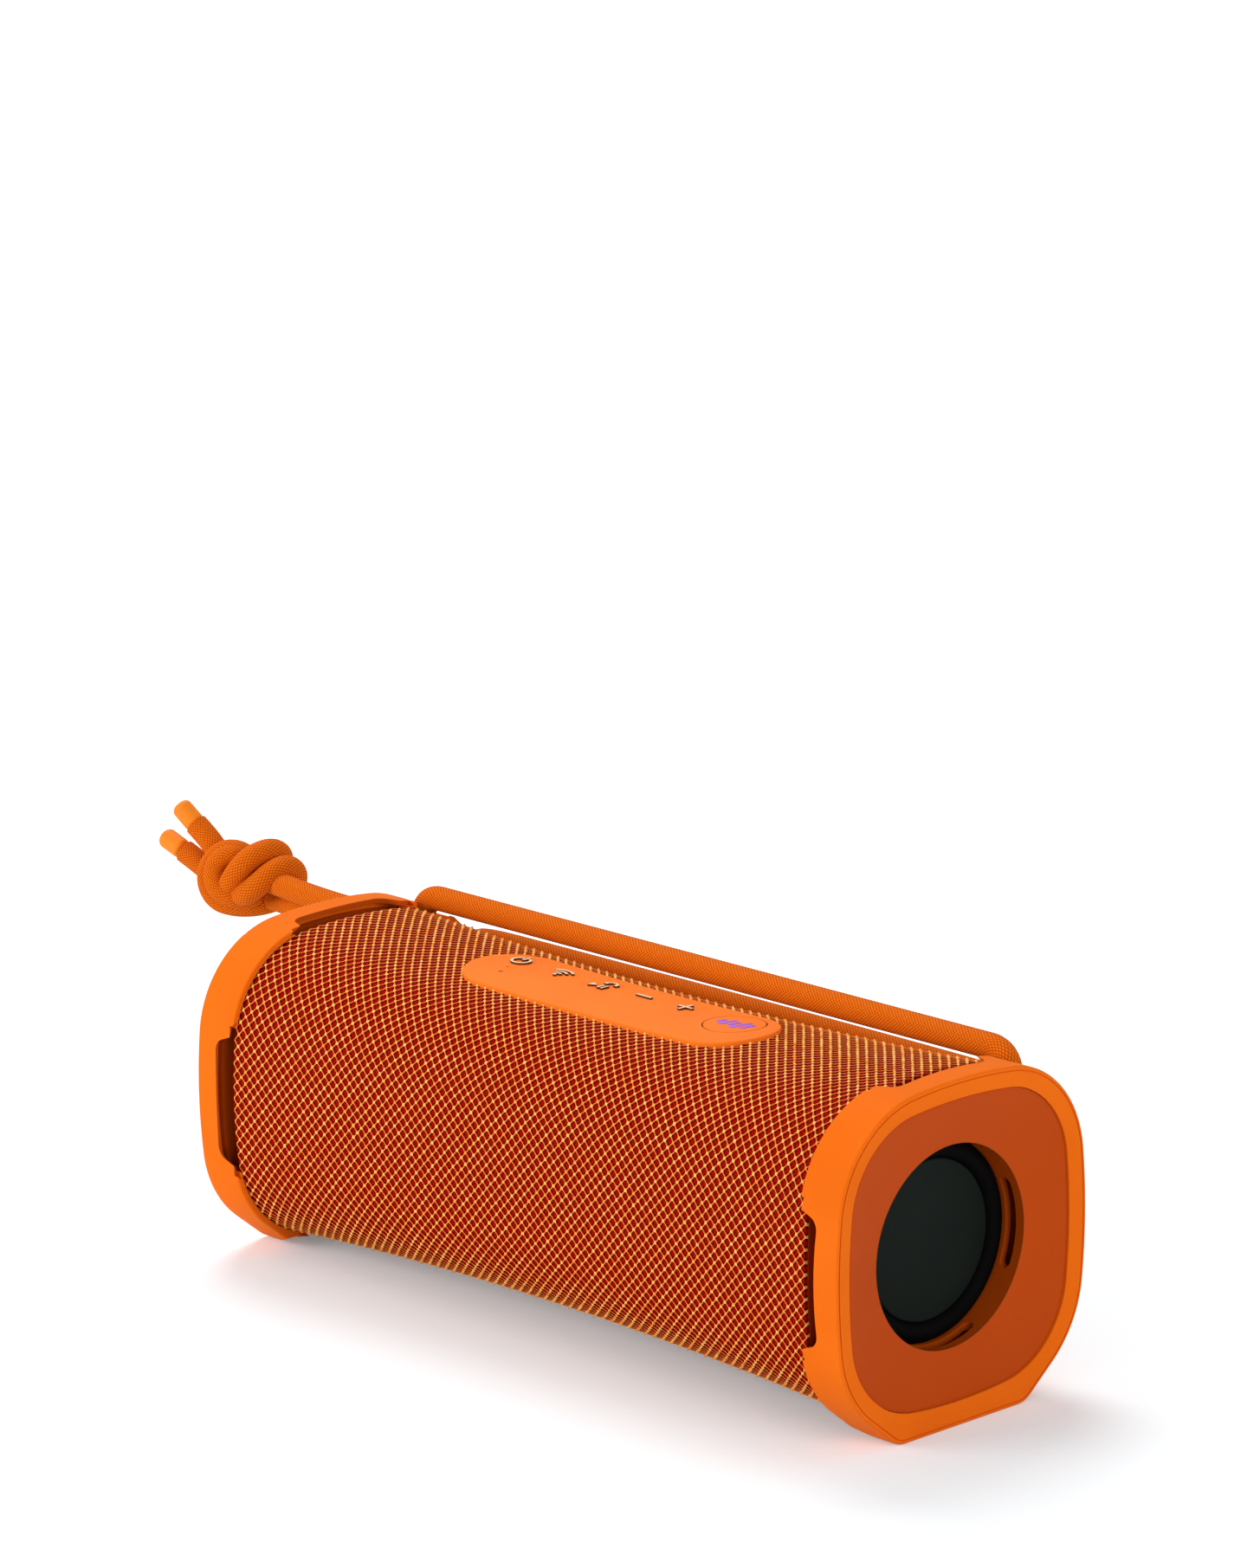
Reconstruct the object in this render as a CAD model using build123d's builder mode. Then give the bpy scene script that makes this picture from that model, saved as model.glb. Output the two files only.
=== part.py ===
"""A small portable speaker: a waisted, cloth-covered tube between two soft end caps.

Frame: +X runs right along the length, -Y is the front with the drivers, +Z is up.
The origin is on the surface that the caps stand on, under the middle of the body.
All sizes are in millimetres.
"""
from build123d import *
import os
from math import atan2, cos, degrees, radians, sin, sqrt, tan

os.makedirs("parts", exist_ok=True)

# ---------------------------------------------------------------- driving sizes
HALF_LENGTH = 102.6  # middle to the outer face of an end cap
CENTRE_Z = 38.7  # height of the long axis
HALF_SIZE = 38.1  # half the depth and height of an end cap
SIDE_RADIUS = 136.0  # the four gently bowed sides
CORNER_RADIUS = 25.5  # the four corners between them

RIM_INNER_X = 91.0  # inner edge of a cap's rim
RIM_LIP = 1.4  # thickness of the rim over the cloth
WEB_X = 98.5  # inner face of the cap's end wall
FRAME_WIDTH = 4.6  # the ring seen round the cover from the end
FRAME_SLOPE = 0.7  # how far that ring falls towards the cover
GROOVE_AT, GROOVE_WIDTH = 0.8, 0.3  # the fold line round the end face
FOOT_CORNER = 19.5  # half the width of a foot between its sharp corners
FOOT_FILLET = 6.0
FOOT_FLAT_X, FOOT_RISE = 97.6, 3.0  # the foot's flat base starts here, and how far it rises inwards
NOTCH_MOUTH = 29.6  # a notch in the rim's inner edge, at the edge and at its bottom
NOTCH_BOTTOM = 26.2
NOTCH_DEPTH = 5.0
NOTCH_FILLET = 2.6
NOTCH_SHOULDER = 1.2
NOTCH_UNDERCUT = 38.0  # the notch's walls lean back under the rim by this angle

CLOTH_END_X = 92.0
WAIST_INSET = 4.5  # cloth below the cap's outline at mid length
END_INSET = 1.5  # and at its ends
CLOTH = 0.9
HOUSING_BELOW = 1.0  # housing's outside below the cloth's outside
WALL = 2.4
SPLIT_Y = 14.0  # seam between the front and rear housing
FIT = 0.15  # usual clearance between two parts

COVER_EDGE_X = 101.4  # the cover's face at its rim
DISH = 2.5  # how far that face falls towards its round hole
HOLE_RADIUS = 22.5
COLLAR_WALL = 1.6
COLLAR_TIP_X = 92.5
COVER_BACK_X = 96.9
WINDOW_X, WINDOW_LENGTH, WINDOW_HEIGHT = 95.1, 20.4, 3.0
NECK_RADIUS = 30.5
NECK_WALL = 2.2
FLANGE_X = (86.5, 90.3)  # the end frame's plate
BOSS_LENGTH = 12.0
END_SCREW = 24.0  # screws at this distance from the axis, in y and in z
SCREW_RADIUS, HEAD_RADIUS = 1.0, 1.9
RADIATOR_BORE = 24.4
RADIATOR_X = 91.4  # plane of the moving disc
DISC_RADIUS, ROLL_OUTER, RUBBER = 18.0, 22.6, 0.7

PANEL_LENGTH, PANEL_WIDTH = 91.0, 24.2
PANEL_X = -2.0  # middle of the control panel
PANEL_PROUD = 0.9  # its top above the cloth
KEY_X = [-39.0 + 13.4 * step for step in range(5)]
KEY_Y = 4.6
KEY_NAMES = ["power_key", "wireless_key", "play_key", "minus_key", "plus_key"]
KEY_RADIUS = 4.7
BOOST_X, BOOST_Y, BOOST_RADIUS = 31.4, 2.8, 6.9
KEY_TRAVEL = 0.4
STEM_RADIUS = 1.6
KEY_BOARD_Z, BOARD = 63.4, 1.2
BOARD_POSTS = [(-45.0, 10.0), (23.0, -7.0), (-18.8, 10.0), (40.5, 10.0)]
LIGHT_AT, MICROPHONE_AT = (-36.3, -3.9), (-37.6, -0.6)
LIGHT_RADIUS = 0.6

WOOFER_X = -12.0
WOOFER_LENGTH, WOOFER_HEIGHT = 90.0, 46.0  # its flange
SEAT_LENGTH, SEAT_HEIGHT = 84.0, 40.0  # outer edge of the surround's roll
WOOFER_SCREWS = (56.0, 43.4)
SMALL_SCREW, SMALL_HEAD = 0.6, 1.1
BASKET_FLANGE = 1.8
CONE_LENGTH, CONE_HEIGHT = 71.0, 27.0
ROLL_HEIGHT = 1.9
CONE_BACK_Y = -17.0
COIL_RADIUS, COIL_LENGTH = 9.2, 11.0
MAGNET_Y, MAGNET_RADIUS, MAGNET_LENGTH = -9.0, 16.5, 12.0
GAP_RADIUS, GAP_DEPTH = (7.9, 9.8), 7.0
GRILLE = 1.6
SLOT_COUNT, SLOT_PITCH, SLOT_WIDTH = 12, 6.6, 4.4
BAFFLE_Y = -24.2  # front face of the inner wall that carries the drivers
BAFFLE = 2.2
BAFFLE_X = (-64.0, 76.0)
BASKET_LENGTH, BASKET_HEIGHT = 82.0, 38.0
TWEETER_X, TWEETER_RADIUS, TWEETER_BODY = 58.0, 13.5, 11.0
DOME_RADIUS, DOME_SPHERE = 7.6, 10.6
SPIDER_Y, SPIDER_RADIUS = -14.4, 15.7

PORT_X, PORT_Z = 50.0, 30.0
PORT_LENGTH, PORT_HEIGHT, PORT_CORNER = 27.0, 14.0, 3.5
PORT_FACE_Y = 34.4
PORT_SEAT_Y = 31.2  # the port frame's flange sits here
MAIN_BOARD_Y = 20.0
MAIN_POSTS = [(12.0, 22.0), (12.0, 55.4), (78.0, 22.0), (78.0, 55.4)]
COVER_LENGTH, COVER_HEIGHT, COVER_THICK = 21.6, 9.6, 1.7
PIN_RADIUS = 0.5
SOCKET_FRONT_Y = 30.4

CELL_RADIUS, CELL_LENGTH = 9.2, 65.0
CELL_X, CELL_Y, CELL_PITCH = -37.5, 19.0, 20.0

STRAP = 5.8  # cord diameter
STRAP_TURN_X = 93.5  # where the cord dives into a cap
MOUTH_X = 89.4  # the body is cut back to here where the cord dives
BRIDGE_ANGLE = 46.0  # the bridge that the cord turns round, at the rear top corner
BRIDGE_THICK, BRIDGE_WIDTH = 2.6, 4.0
STRAP_ROUTE = [
    (-167.0, 40.2, 57.8), (-134.0, 39.8, 56.9), (-104.0, 40.3, 57.0), (-88.0, 40.2, 58.2),
    (-66.0, 36.8, 62.4), (0.0, 36.7, 62.6), (STRAP_TURN_X, 36.8, 62.4), (STRAP_TURN_X, 23.3, 62.2),
    (STRAP_TURN_X, 24.0, 75.5), (-STRAP_TURN_X, 24.0, 75.5), (-STRAP_TURN_X, 23.3, 62.4),
    (-STRAP_TURN_X, 38.3, 63.9), (-119.0, 37.2, 62.8), (-143.0, 36.2, 62.1), (-166.0, 36.2, 63.8),
]
# the knot's turns: two loops round its left end, two wraps slanting across its right end
LOOP_AXIS, WRAP_AXIS = (0.70, -0.65, 0.30), (0.57, 0.25, -0.78)
KNOT_TURNS = [
    ((-176.5, 35.8, 62.4), LOOP_AXIS, 6.4), ((-172.0, 33.5, 63.8), LOOP_AXIS, 5.4),
    ((-170.9, 37.8, 64.3), WRAP_AXIS, 6.4), ((-167.3, 38.0, 61.8), WRAP_AXIS, 6.4),
]
KNOT_MIDDLE, KNOT_CORE = (-171.5, 37.2, 62.8), 6.6


def section(x, side=1):
    """The plane across the body at x, with local x along +Y and local y along +Z."""
    return Plane(origin=(x * side, 0, CENTRE_Z), x_dir=(0, 1, 0), z_dir=(1, 0, 0))


def front(y):
    """A plane facing the front at y, with local x along +X and local y along +Z."""
    return Plane(origin=(0, y, CENTRE_Z), x_dir=(1, 0, 0), z_dir=(0, -1, 0))


# Centre of the corner arcs, where both side arcs are tangent to the corner arc.
SIDE_CENTRE = SIDE_RADIUS - HALF_SIZE
REACH = SIDE_RADIUS - CORNER_RADIUS
CORNER = (sqrt(2 * REACH**2 - SIDE_CENTRE**2) - SIDE_CENTRE) / 2
SIDE_ANGLE = degrees(atan2(CORNER, SIDE_CENTRE + CORNER))


def squircle(inset=0.0):
    """The body's outline, inset by some distance: four bowed sides and four corners."""
    with BuildSketch(mode=Mode.PRIVATE) as outline:
        with BuildLine():
            for turn in range(0, 360, 90):
                side = Vector(-SIDE_CENTRE, 0).rotate(Axis.Z, turn)
                corner = Vector(CORNER, CORNER).rotate(Axis.Z, turn)
                CenterArc(side, SIDE_RADIUS - inset, turn - SIDE_ANGLE, 2 * SIDE_ANGLE)
                CenterArc(corner, CORNER_RADIUS - inset, turn + SIDE_ANGLE, 90 - 2 * SIDE_ANGLE)
        make_face()
    return outline.sketch


def eight_arcs(radius):
    """A circle of eight arcs whose ends face those of the squircle."""
    joint = degrees(atan2(sin(radians(SIDE_ANGLE)), cos(radians(SIDE_ANGLE)) - SIDE_CENTRE / SIDE_RADIUS))
    with BuildSketch(mode=Mode.PRIVATE) as outline:
        with BuildLine():
            for turn in range(0, 360, 90):
                CenterArc((0, 0), radius, turn - joint, 2 * joint)
                CenterArc((0, 0), radius, turn + joint, 90 - 2 * joint)
        make_face()
    return outline.sketch


def foot():
    """The part of a cap's outline that stands below the squircle, with a flat base."""
    down, away = CENTRE_Z - CORNER, FOOT_CORNER - CORNER
    run = sqrt(down**2 + away**2 - CORNER_RADIUS**2)  # tangent from the foot's corner to the arc
    slope = atan2(down, -away) - atan2(CORNER_RADIUS, run)
    touch_y, touch_z = FOOT_CORNER + run * cos(slope), run * sin(slope) - CENTRE_Z
    with BuildSketch(mode=Mode.PRIVATE) as shape:
        with BuildLine():
            Polyline(
                (-touch_y, touch_z), (-FOOT_CORNER, -CENTRE_Z), (FOOT_CORNER, -CENTRE_Z),
                (touch_y, touch_z), (CORNER, -CORNER), (-CORNER, -CORNER), close=True,
            )
        make_face()
        fillet(shape.vertices().group_by(Axis.Y)[0], FOOT_FILLET)
    return shape.sketch


def cloth_inset(x):
    """How far the cloth's surface lies inside the caps' outline at x."""
    return WAIST_INSET - (WAIST_INSET - END_INSET) * (x / CLOTH_END_X) ** 2


def cloth_top(x):
    """Height of the cloth's surface along the middle of the top, at x."""
    return CENTRE_Z + HALF_SIZE - cloth_inset(x)


def waisted(below):
    """The solid inside a surface that lies some distance below the cloth's surface."""
    with BuildPart(mode=Mode.PRIVATE) as solid:
        for x in (-CLOTH_END_X, -CLOTH_END_X / 2, 0, CLOTH_END_X / 2, CLOTH_END_X):
            with BuildSketch(section(x)):
                add(squircle(cloth_inset(x) + below))
        loft()
    return solid.part


def layer(outer, inner):
    """The shell between two such surfaces."""
    with BuildPart(mode=Mode.PRIVATE) as between:
        add(waisted(outer))
        add(waisted(inner), mode=Mode.SUBTRACT)
    return between.part


def stadium_bar(x, z, length, height, y_from, y_to):
    """A racetrack-shaped bar along Y, for windows and inserts."""
    with BuildPart(mode=Mode.PRIVATE) as bar:
        with BuildSketch(Plane(origin=(x, y_from, z), x_dir=(1, 0, 0), z_dir=(0, 1, 0))):
            SlotOverall(length, height)
        extrude(amount=y_to - y_from)
    return bar.part


def port_bar(length, height, corner, y_from, y_to):
    """A rounded bar along Y behind the port, for its openings and its frame."""
    with BuildPart(mode=Mode.PRIVATE) as bar:
        with BuildSketch(Plane(origin=(PORT_X, y_from, PORT_Z), x_dir=(1, 0, 0), z_dir=(0, 1, 0))):
            RectangleRounded(length, height, corner)
        extrude(amount=y_to - y_from)
    return bar.part


def strap_mouth(x_from, x_to):
    """The rear top corner that the cord passes through at both ends, between two x values."""
    low_y, low_z, far = 19.8, 59.2 - CENTRE_Z, 46.0
    with BuildPart(mode=Mode.PRIVATE) as mouth:
        with BuildSketch(section(x_from)) as opening:
            with BuildLine():
                Polyline((low_y, low_z), (far, low_z), (far, far), (low_y, far), close=True)
            make_face()
            fillet(opening.vertices().sort_by(Axis.Y)[:2].sort_by(Axis.Z)[0], STRAP)
        extrude(amount=x_to - x_from)
        mirror(about=Plane.YZ)
    return mouth.part


def write(piece, name):
    """Label a finished piece and write its file."""
    piece.part.label = name
    export_step(piece.part, f"parts/{name}.step")


def write_pair(piece, name):
    """Write a right-hand piece, and its mirror image as the left-hand one."""
    write(piece, f"right_{name}")
    with BuildPart() as twin:
        add(piece.part)
        mirror(about=Plane.YZ, mode=Mode.REPLACE)
    write(twin, f"left_{name}")


# ---------------------------------------------------------------- end caps
with BuildPart() as end_cap:
    with BuildSketch(section(RIM_INNER_X)):
        add(foot())
    extrude(amount=HALF_LENGTH - RIM_INNER_X)
    # the foot is flat under the end wall and rises to nothing at the rim's inner edge
    with BuildSketch(Plane.XZ):
        with BuildLine():
            Polyline(
                (FOOT_FLAT_X, 0), (RIM_INNER_X - 1, FOOT_RISE), (RIM_INNER_X - 1, -1), (FOOT_FLAT_X, -1),
                close=True,
            )
        make_face()
    extrude(amount=HALF_SIZE, both=True, mode=Mode.SUBTRACT)
    with BuildSketch(section(RIM_INNER_X)):
        add(squircle())
    extrude(amount=HALF_LENGTH - RIM_INNER_X)
    with BuildSketch(section(RIM_INNER_X)):
        add(squircle(RIM_LIP))
    extrude(amount=WEB_X - RIM_INNER_X, mode=Mode.SUBTRACT)
    with BuildSketch(section(WEB_X)):
        add(squircle(FRAME_WIDTH))
    extrude(amount=HALF_LENGTH - WEB_X, mode=Mode.SUBTRACT)
    end_face = end_cap.faces().sort_by(Axis.X)[-1]
    fillet(end_face.outer_wire().edges(), 0.6)
    end_face = end_cap.faces().sort_by(Axis.X)[-1]
    chamfer(end_face.inner_wires()[0].edges(), FRAME_WIDTH - 1.5, FRAME_SLOPE, reference=end_face)
    inner_face = end_cap.faces().filter_by(Axis.X).group_by(Axis.X)[0].sort_by(SortBy.AREA)[-1]
    fillet(inner_face.outer_wire().edges(), 0.5)

    # a fine groove where the end face meets the side
    with BuildSketch(section(HALF_LENGTH)):
        add(squircle())
        add(foot())
        offset(amount=-GROOVE_AT, mode=Mode.REPLACE)
        offset(amount=-GROOVE_WIDTH, mode=Mode.SUBTRACT)
    extrude(amount=-GROOVE_WIDTH, mode=Mode.SUBTRACT)

    # four notches in the inner edge, with rounded shoulders, rounded corners and undercut walls
    for turn in range(0, 360, 90):
        away = Vector(0, 1, 0).rotate(Axis.X, turn)
        start = Vector(RIM_INNER_X, 0, CENTRE_Z) + away * HALF_SIZE
        for direction, amount, lean in ((away, 3.0, 0.0), (-away, 2.6, NOTCH_UNDERCUT)):
            with BuildSketch(Plane(origin=start, x_dir=(1, 0, 0), z_dir=direction)):
                with BuildLine():
                    Polyline(
                        (-1, NOTCH_MOUTH / 2 + 2), (0, NOTCH_MOUTH / 2 + 2), (0, NOTCH_MOUTH / 2),
                        (NOTCH_DEPTH, NOTCH_BOTTOM / 2), (NOTCH_DEPTH, -NOTCH_BOTTOM / 2),
                        (0, -NOTCH_MOUTH / 2), (0, -NOTCH_MOUTH / 2 - 2), (-1, -NOTCH_MOUTH / 2 - 2),
                        close=True,
                    )
                notch = make_face()
                corners = notch.vertices().group_by(Axis.X)
                fillet(corners[-1], NOTCH_FILLET)
                fillet(corners[1].sort_by(SortBy.DISTANCE)[:2], NOTCH_SHOULDER)
            extrude(amount=amount, taper=-lean, mode=Mode.SUBTRACT)

    # the mouth for the cord, and the bridge that the cord turns round
    add(strap_mouth(RIM_INNER_X - 1, STRAP_TURN_X + STRAP / 2 + 1.6), mode=Mode.SUBTRACT)
    bridge = Vector(0, CORNER_RADIUS - BRIDGE_THICK / 2, 0).rotate(Axis.X, BRIDGE_ANGLE)
    bridge_plane = Plane(
        origin=(STRAP_TURN_X, CORNER + bridge.Y, CENTRE_Z + CORNER + bridge.Z), x_dir=bridge, z_dir=(1, 0, 0)
    )
    with BuildSketch(bridge_plane):
        RectangleRounded(BRIDGE_THICK, BRIDGE_WIDTH, 0.8)
    extrude(amount=WEB_X - STRAP_TURN_X)
    with BuildSketch(bridge_plane):
        RectangleRounded(BRIDGE_THICK, BRIDGE_WIDTH, 0.8)
    extrude(amount=MOUTH_X - STRAP_TURN_X)
    with BuildSketch(bridge_plane.offset(MOUTH_X - STRAP_TURN_X)):
        with Locations((BRIDGE_THICK / 2 - 0.6, 0)):
            Rectangle(1.2, BRIDGE_WIDTH - 0.2)
    extrude(amount=-1.6)
write_pair(end_cap, "end_cap")


# ---------------------------------------------------------------- cover plates
with BuildPart() as radiator_cover:
    with BuildSketch(section(COVER_BACK_X)):
        add(squircle(FRAME_WIDTH - 2.0))
    extrude(amount=WEB_X - FIT - COVER_BACK_X)
    with BuildSketch(section(COVER_BACK_X)):
        add(squircle(FRAME_WIDTH + FIT))
    extrude(amount=COVER_EDGE_X - COVER_BACK_X)
    with BuildSketch(section(COVER_BACK_X)):
        Circle(HOLE_RADIUS + COLLAR_WALL)
    extrude(amount=COLLAR_TIP_X - COVER_BACK_X)
    with BuildSketch(section(COVER_EDGE_X)):
        add(squircle(FRAME_WIDTH + 1.0))
    with BuildSketch(section(COVER_EDGE_X - DISH)):
        add(eight_arcs(HOLE_RADIUS + 0.6))
    loft(ruled=True, mode=Mode.SUBTRACT)
    with BuildSketch(section(COLLAR_TIP_X)):
        Circle(HOLE_RADIUS)
    extrude(amount=COVER_EDGE_X - COLLAR_TIP_X, mode=Mode.SUBTRACT)
    # windows in the collar let air and water out to the notches
    for turn in range(0, 360, 90):
        away = Vector(0, 1, 0).rotate(Axis.X, turn)
        with BuildSketch(Plane(origin=(WINDOW_X, 0, CENTRE_Z), x_dir=(1, 0, 0), z_dir=away)):
            SlotOverall(WINDOW_LENGTH, WINDOW_HEIGHT, rotation=90)
        extrude(amount=HOLE_RADIUS + COLLAR_WALL + 0.4, mode=Mode.SUBTRACT)
write_pair(radiator_cover, "radiator_cover")


# ---------------------------------------------------------------- end frames
with BuildPart() as end_frame:
    with BuildSketch(section(FLANGE_X[0])):
        add(squircle(END_INSET + HOUSING_BELOW + WALL + 0.5))
    extrude(amount=FLANGE_X[1] - FLANGE_X[0])
    with BuildSketch(section(FLANGE_X[1])):
        Circle(NECK_RADIUS)
        Circle(NECK_RADIUS - NECK_WALL, mode=Mode.SUBTRACT)
    extrude(amount=COVER_BACK_X - 0.1 - FLANGE_X[1])
    with BuildSketch(section(FLANGE_X[0])):
        Circle(RADIATOR_BORE)
    extrude(amount=FLANGE_X[1] - FLANGE_X[0], mode=Mode.SUBTRACT)
    with Locations(section(FLANGE_X[1])):
        with GridLocations(2 * END_SCREW, 2 * END_SCREW, 2, 2):
            CounterBoreHole(SCREW_RADIUS + 0.2, HEAD_RADIUS + 0.2, 1.8)
write_pair(end_frame, "end_frame")

with BuildPart() as end_gasket:
    with BuildSketch(section(FLANGE_X[0] - 1.1)):
        add(squircle(END_INSET + HOUSING_BELOW + WALL + 0.8))
        add(squircle(END_INSET + HOUSING_BELOW + WALL + 2.0), mode=Mode.SUBTRACT)
    extrude(amount=1.0)
write_pair(end_gasket, "end_gasket")


# ---------------------------------------------------------------- passive radiators
with BuildPart() as radiator_frame:
    with BuildSketch(section(FLANGE_X[1] + 0.1)):
        Circle(NECK_RADIUS - NECK_WALL - 0.3)
        Circle(ROLL_OUTER, mode=Mode.SUBTRACT)
    extrude(amount=COLLAR_TIP_X - 0.1 - FLANGE_X[1] - 0.1)
write_pair(radiator_frame, "radiator_frame")

with BuildPart() as radiator_surround:
    middle, roll = (ROLL_OUTER + DISC_RADIUS) / 2, (ROLL_OUTER - DISC_RADIUS) / 2
    with BuildSketch(Plane(origin=(RADIATOR_X, 0, CENTRE_Z), x_dir=(1, 0, 0), z_dir=(0, -1, 0))):
        with Locations((0, middle)):
            Circle(roll)
            Circle(roll - RUBBER, mode=Mode.SUBTRACT)
            with Locations((-roll, 0)):
                Rectangle(2 * roll, 2 * roll, mode=Mode.SUBTRACT)
    revolve(axis=Axis((0, 0, CENTRE_Z), (1, 0, 0)))
write_pair(radiator_surround, "radiator_surround")

with BuildPart() as radiator_disc:
    with BuildSketch(section(RADIATOR_X - 0.6)):
        Circle(DISC_RADIUS - 0.1)
    extrude(amount=1.6)
    fillet(radiator_disc.edges().group_by(Axis.X)[-1], 0.5)
    with BuildSketch(section(RADIATOR_X - 0.6)):
        Circle(12.0)
    extrude(amount=-3.4)
write_pair(radiator_disc, "radiator_disc")


# ---------------------------------------------------------------- cloth sleeve
port_window = port_bar(PORT_LENGTH + 0.4, PORT_HEIGHT + 0.4, PORT_CORNER + 0.2, SPLIT_Y, HALF_SIZE)
mouths = strap_mouth(MOUTH_X, WEB_X)

with BuildPart() as fabric_sleeve:
    add(layer(0, CLOTH))
    with BuildSketch(Plane.XY.offset(CENTRE_Z)):
        with Locations((PANEL_X, 0)):
            SlotOverall(PANEL_LENGTH + 0.4, PANEL_WIDTH + 0.4)
    extrude(amount=HALF_SIZE, mode=Mode.SUBTRACT)
    add(port_window, mode=Mode.SUBTRACT)
    add(mouths, mode=Mode.SUBTRACT)
write(fabric_sleeve, "fabric_sleeve")


# ---------------------------------------------------------------- housings
housing_shell = layer(HOUSING_BELOW, HOUSING_BELOW + WALL)
inside = waisted(HOUSING_BELOW + WALL - 0.1)

with BuildPart() as front_housing:
    add(housing_shell)
    # the flat inner wall that carries the drivers
    with BuildPart(mode=Mode.PRIVATE) as baffle:
        with BuildSketch(Plane.XZ.offset(-BAFFLE_Y)):
            with Locations(((BAFFLE_X[0] + BAFFLE_X[1]) / 2, CENTRE_Z)):
                Rectangle(BAFFLE_X[1] - BAFFLE_X[0], 2 * HALF_SIZE)
        extrude(amount=-BAFFLE)
        add(inside, mode=Mode.INTERSECT)
    add(baffle.part)
    add(stadium_bar(WOOFER_X, CENTRE_Z, WOOFER_LENGTH + 2.4, WOOFER_HEIGHT + 2.4, -HALF_SIZE, BAFFLE_Y),
        mode=Mode.SUBTRACT)
    add(stadium_bar(WOOFER_X, CENTRE_Z, BASKET_LENGTH + 0.6, BASKET_HEIGHT + 0.6, BAFFLE_Y - 1, 0),
        mode=Mode.SUBTRACT)
    with Locations(front(BAFFLE_Y)):
        with Locations((TWEETER_X, 0)):
            Cylinder(TWEETER_RADIUS + 1.2, HALF_SIZE, align=(Align.CENTER, Align.CENTER, Align.MIN),
                     mode=Mode.SUBTRACT)
            Cylinder(TWEETER_BODY + 0.3, 4 * BAFFLE, mode=Mode.SUBTRACT)
        with Locations((WOOFER_X, 0)):
            with GridLocations(WOOFER_SCREWS[0], WOOFER_SCREWS[1], 2, 2):
                Cylinder(SMALL_SCREW + 0.05, 4 * BAFFLE, mode=Mode.SUBTRACT)
    # bosses for the end frames, and posts for the key board
    for side in (1, -1):
        with BuildSketch(section(side * (FLANGE_X[0] - 1.2))):
            with Locations((-END_SCREW, END_SCREW), (-END_SCREW, -END_SCREW)):
                Circle(3.3)
                Circle(SCREW_RADIUS + 0.05, mode=Mode.SUBTRACT)
        extrude(amount=-side * BOSS_LENGTH)
    with BuildSketch(Plane.XY.offset(KEY_BOARD_Z + BOARD)):
        with Locations(*BOARD_POSTS):
            Circle(2.2)
    extrude(amount=cloth_top(0) - HOUSING_BELOW - WALL / 2 - KEY_BOARD_Z - BOARD)
    # holes for the key stems, the microphone and the charge light
    with BuildSketch(Plane.XY.offset(KEY_BOARD_Z + BOARD)):
        with Locations(*[(x, KEY_Y) for x in KEY_X], (BOOST_X, BOOST_Y)):
            Circle(STEM_RADIUS + 0.35)
        with Locations(LIGHT_AT, MICROPHONE_AT):
            Circle(LIGHT_RADIUS + 0.1)
        with Locations(*BOARD_POSTS):
            Circle(SCREW_RADIUS + 0.05)
    extrude(amount=4.0, mode=Mode.SUBTRACT)
    with BuildSketch(Plane.XY.offset(KEY_BOARD_Z + BOARD + 4.0)):
        with Locations(*[(x, KEY_Y) for x in KEY_X], (BOOST_X, BOOST_Y)):
            Circle(STEM_RADIUS + 0.35)
        with Locations(LIGHT_AT, MICROPHONE_AT):
            Circle(LIGHT_RADIUS + 0.1)
    extrude(amount=HALF_SIZE, mode=Mode.SUBTRACT)
    split(bisect_by=Plane.XZ.offset(-SPLIT_Y + FIT / 2), keep=Keep.TOP)
write(front_housing, "front_housing")

with BuildPart() as rear_housing:
    add(housing_shell)
    for side in (1, -1):
        with BuildSketch(section(side * (FLANGE_X[0] - 1.2))):
            with Locations((END_SCREW, END_SCREW), (END_SCREW, -END_SCREW)):
                Circle(3.3)
                Circle(SCREW_RADIUS + 0.05, mode=Mode.SUBTRACT)
        extrude(amount=-side * BOSS_LENGTH)
    # posts from the rear wall to the main board
    with BuildPart(mode=Mode.PRIVATE) as posts:
        with BuildSketch(Plane.XZ.offset(-MAIN_BOARD_Y - BOARD)):
            with Locations(*MAIN_POSTS):
                Circle(2.4)
        extrude(amount=-HALF_SIZE / 2)
        add(inside, mode=Mode.INTERSECT)
    add(posts.part)
    with BuildSketch(Plane.XZ.offset(-MAIN_BOARD_Y - BOARD)):
        with Locations(*MAIN_POSTS):
            Circle(SCREW_RADIUS + 0.05)
    extrude(amount=-7.2, mode=Mode.SUBTRACT)
    add(port_bar(PORT_LENGTH - 3.0, PORT_HEIGHT - 3.0, PORT_CORNER - 1.5, SPLIT_Y, HALF_SIZE),
        mode=Mode.SUBTRACT)
    add(port_bar(PORT_LENGTH + 0.2, PORT_HEIGHT + 0.2, PORT_CORNER + 0.1, PORT_SEAT_Y, HALF_SIZE),
        mode=Mode.SUBTRACT)
    add(mouths, mode=Mode.SUBTRACT)
    split(bisect_by=Plane.XZ.offset(-SPLIT_Y - FIT / 2), keep=Keep.BOTTOM)
write(rear_housing, "rear_housing")


# ---------------------------------------------------------------- grille inserts under the cloth
grille_layer = layer(HOUSING_BELOW, HOUSING_BELOW + GRILLE)

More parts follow.
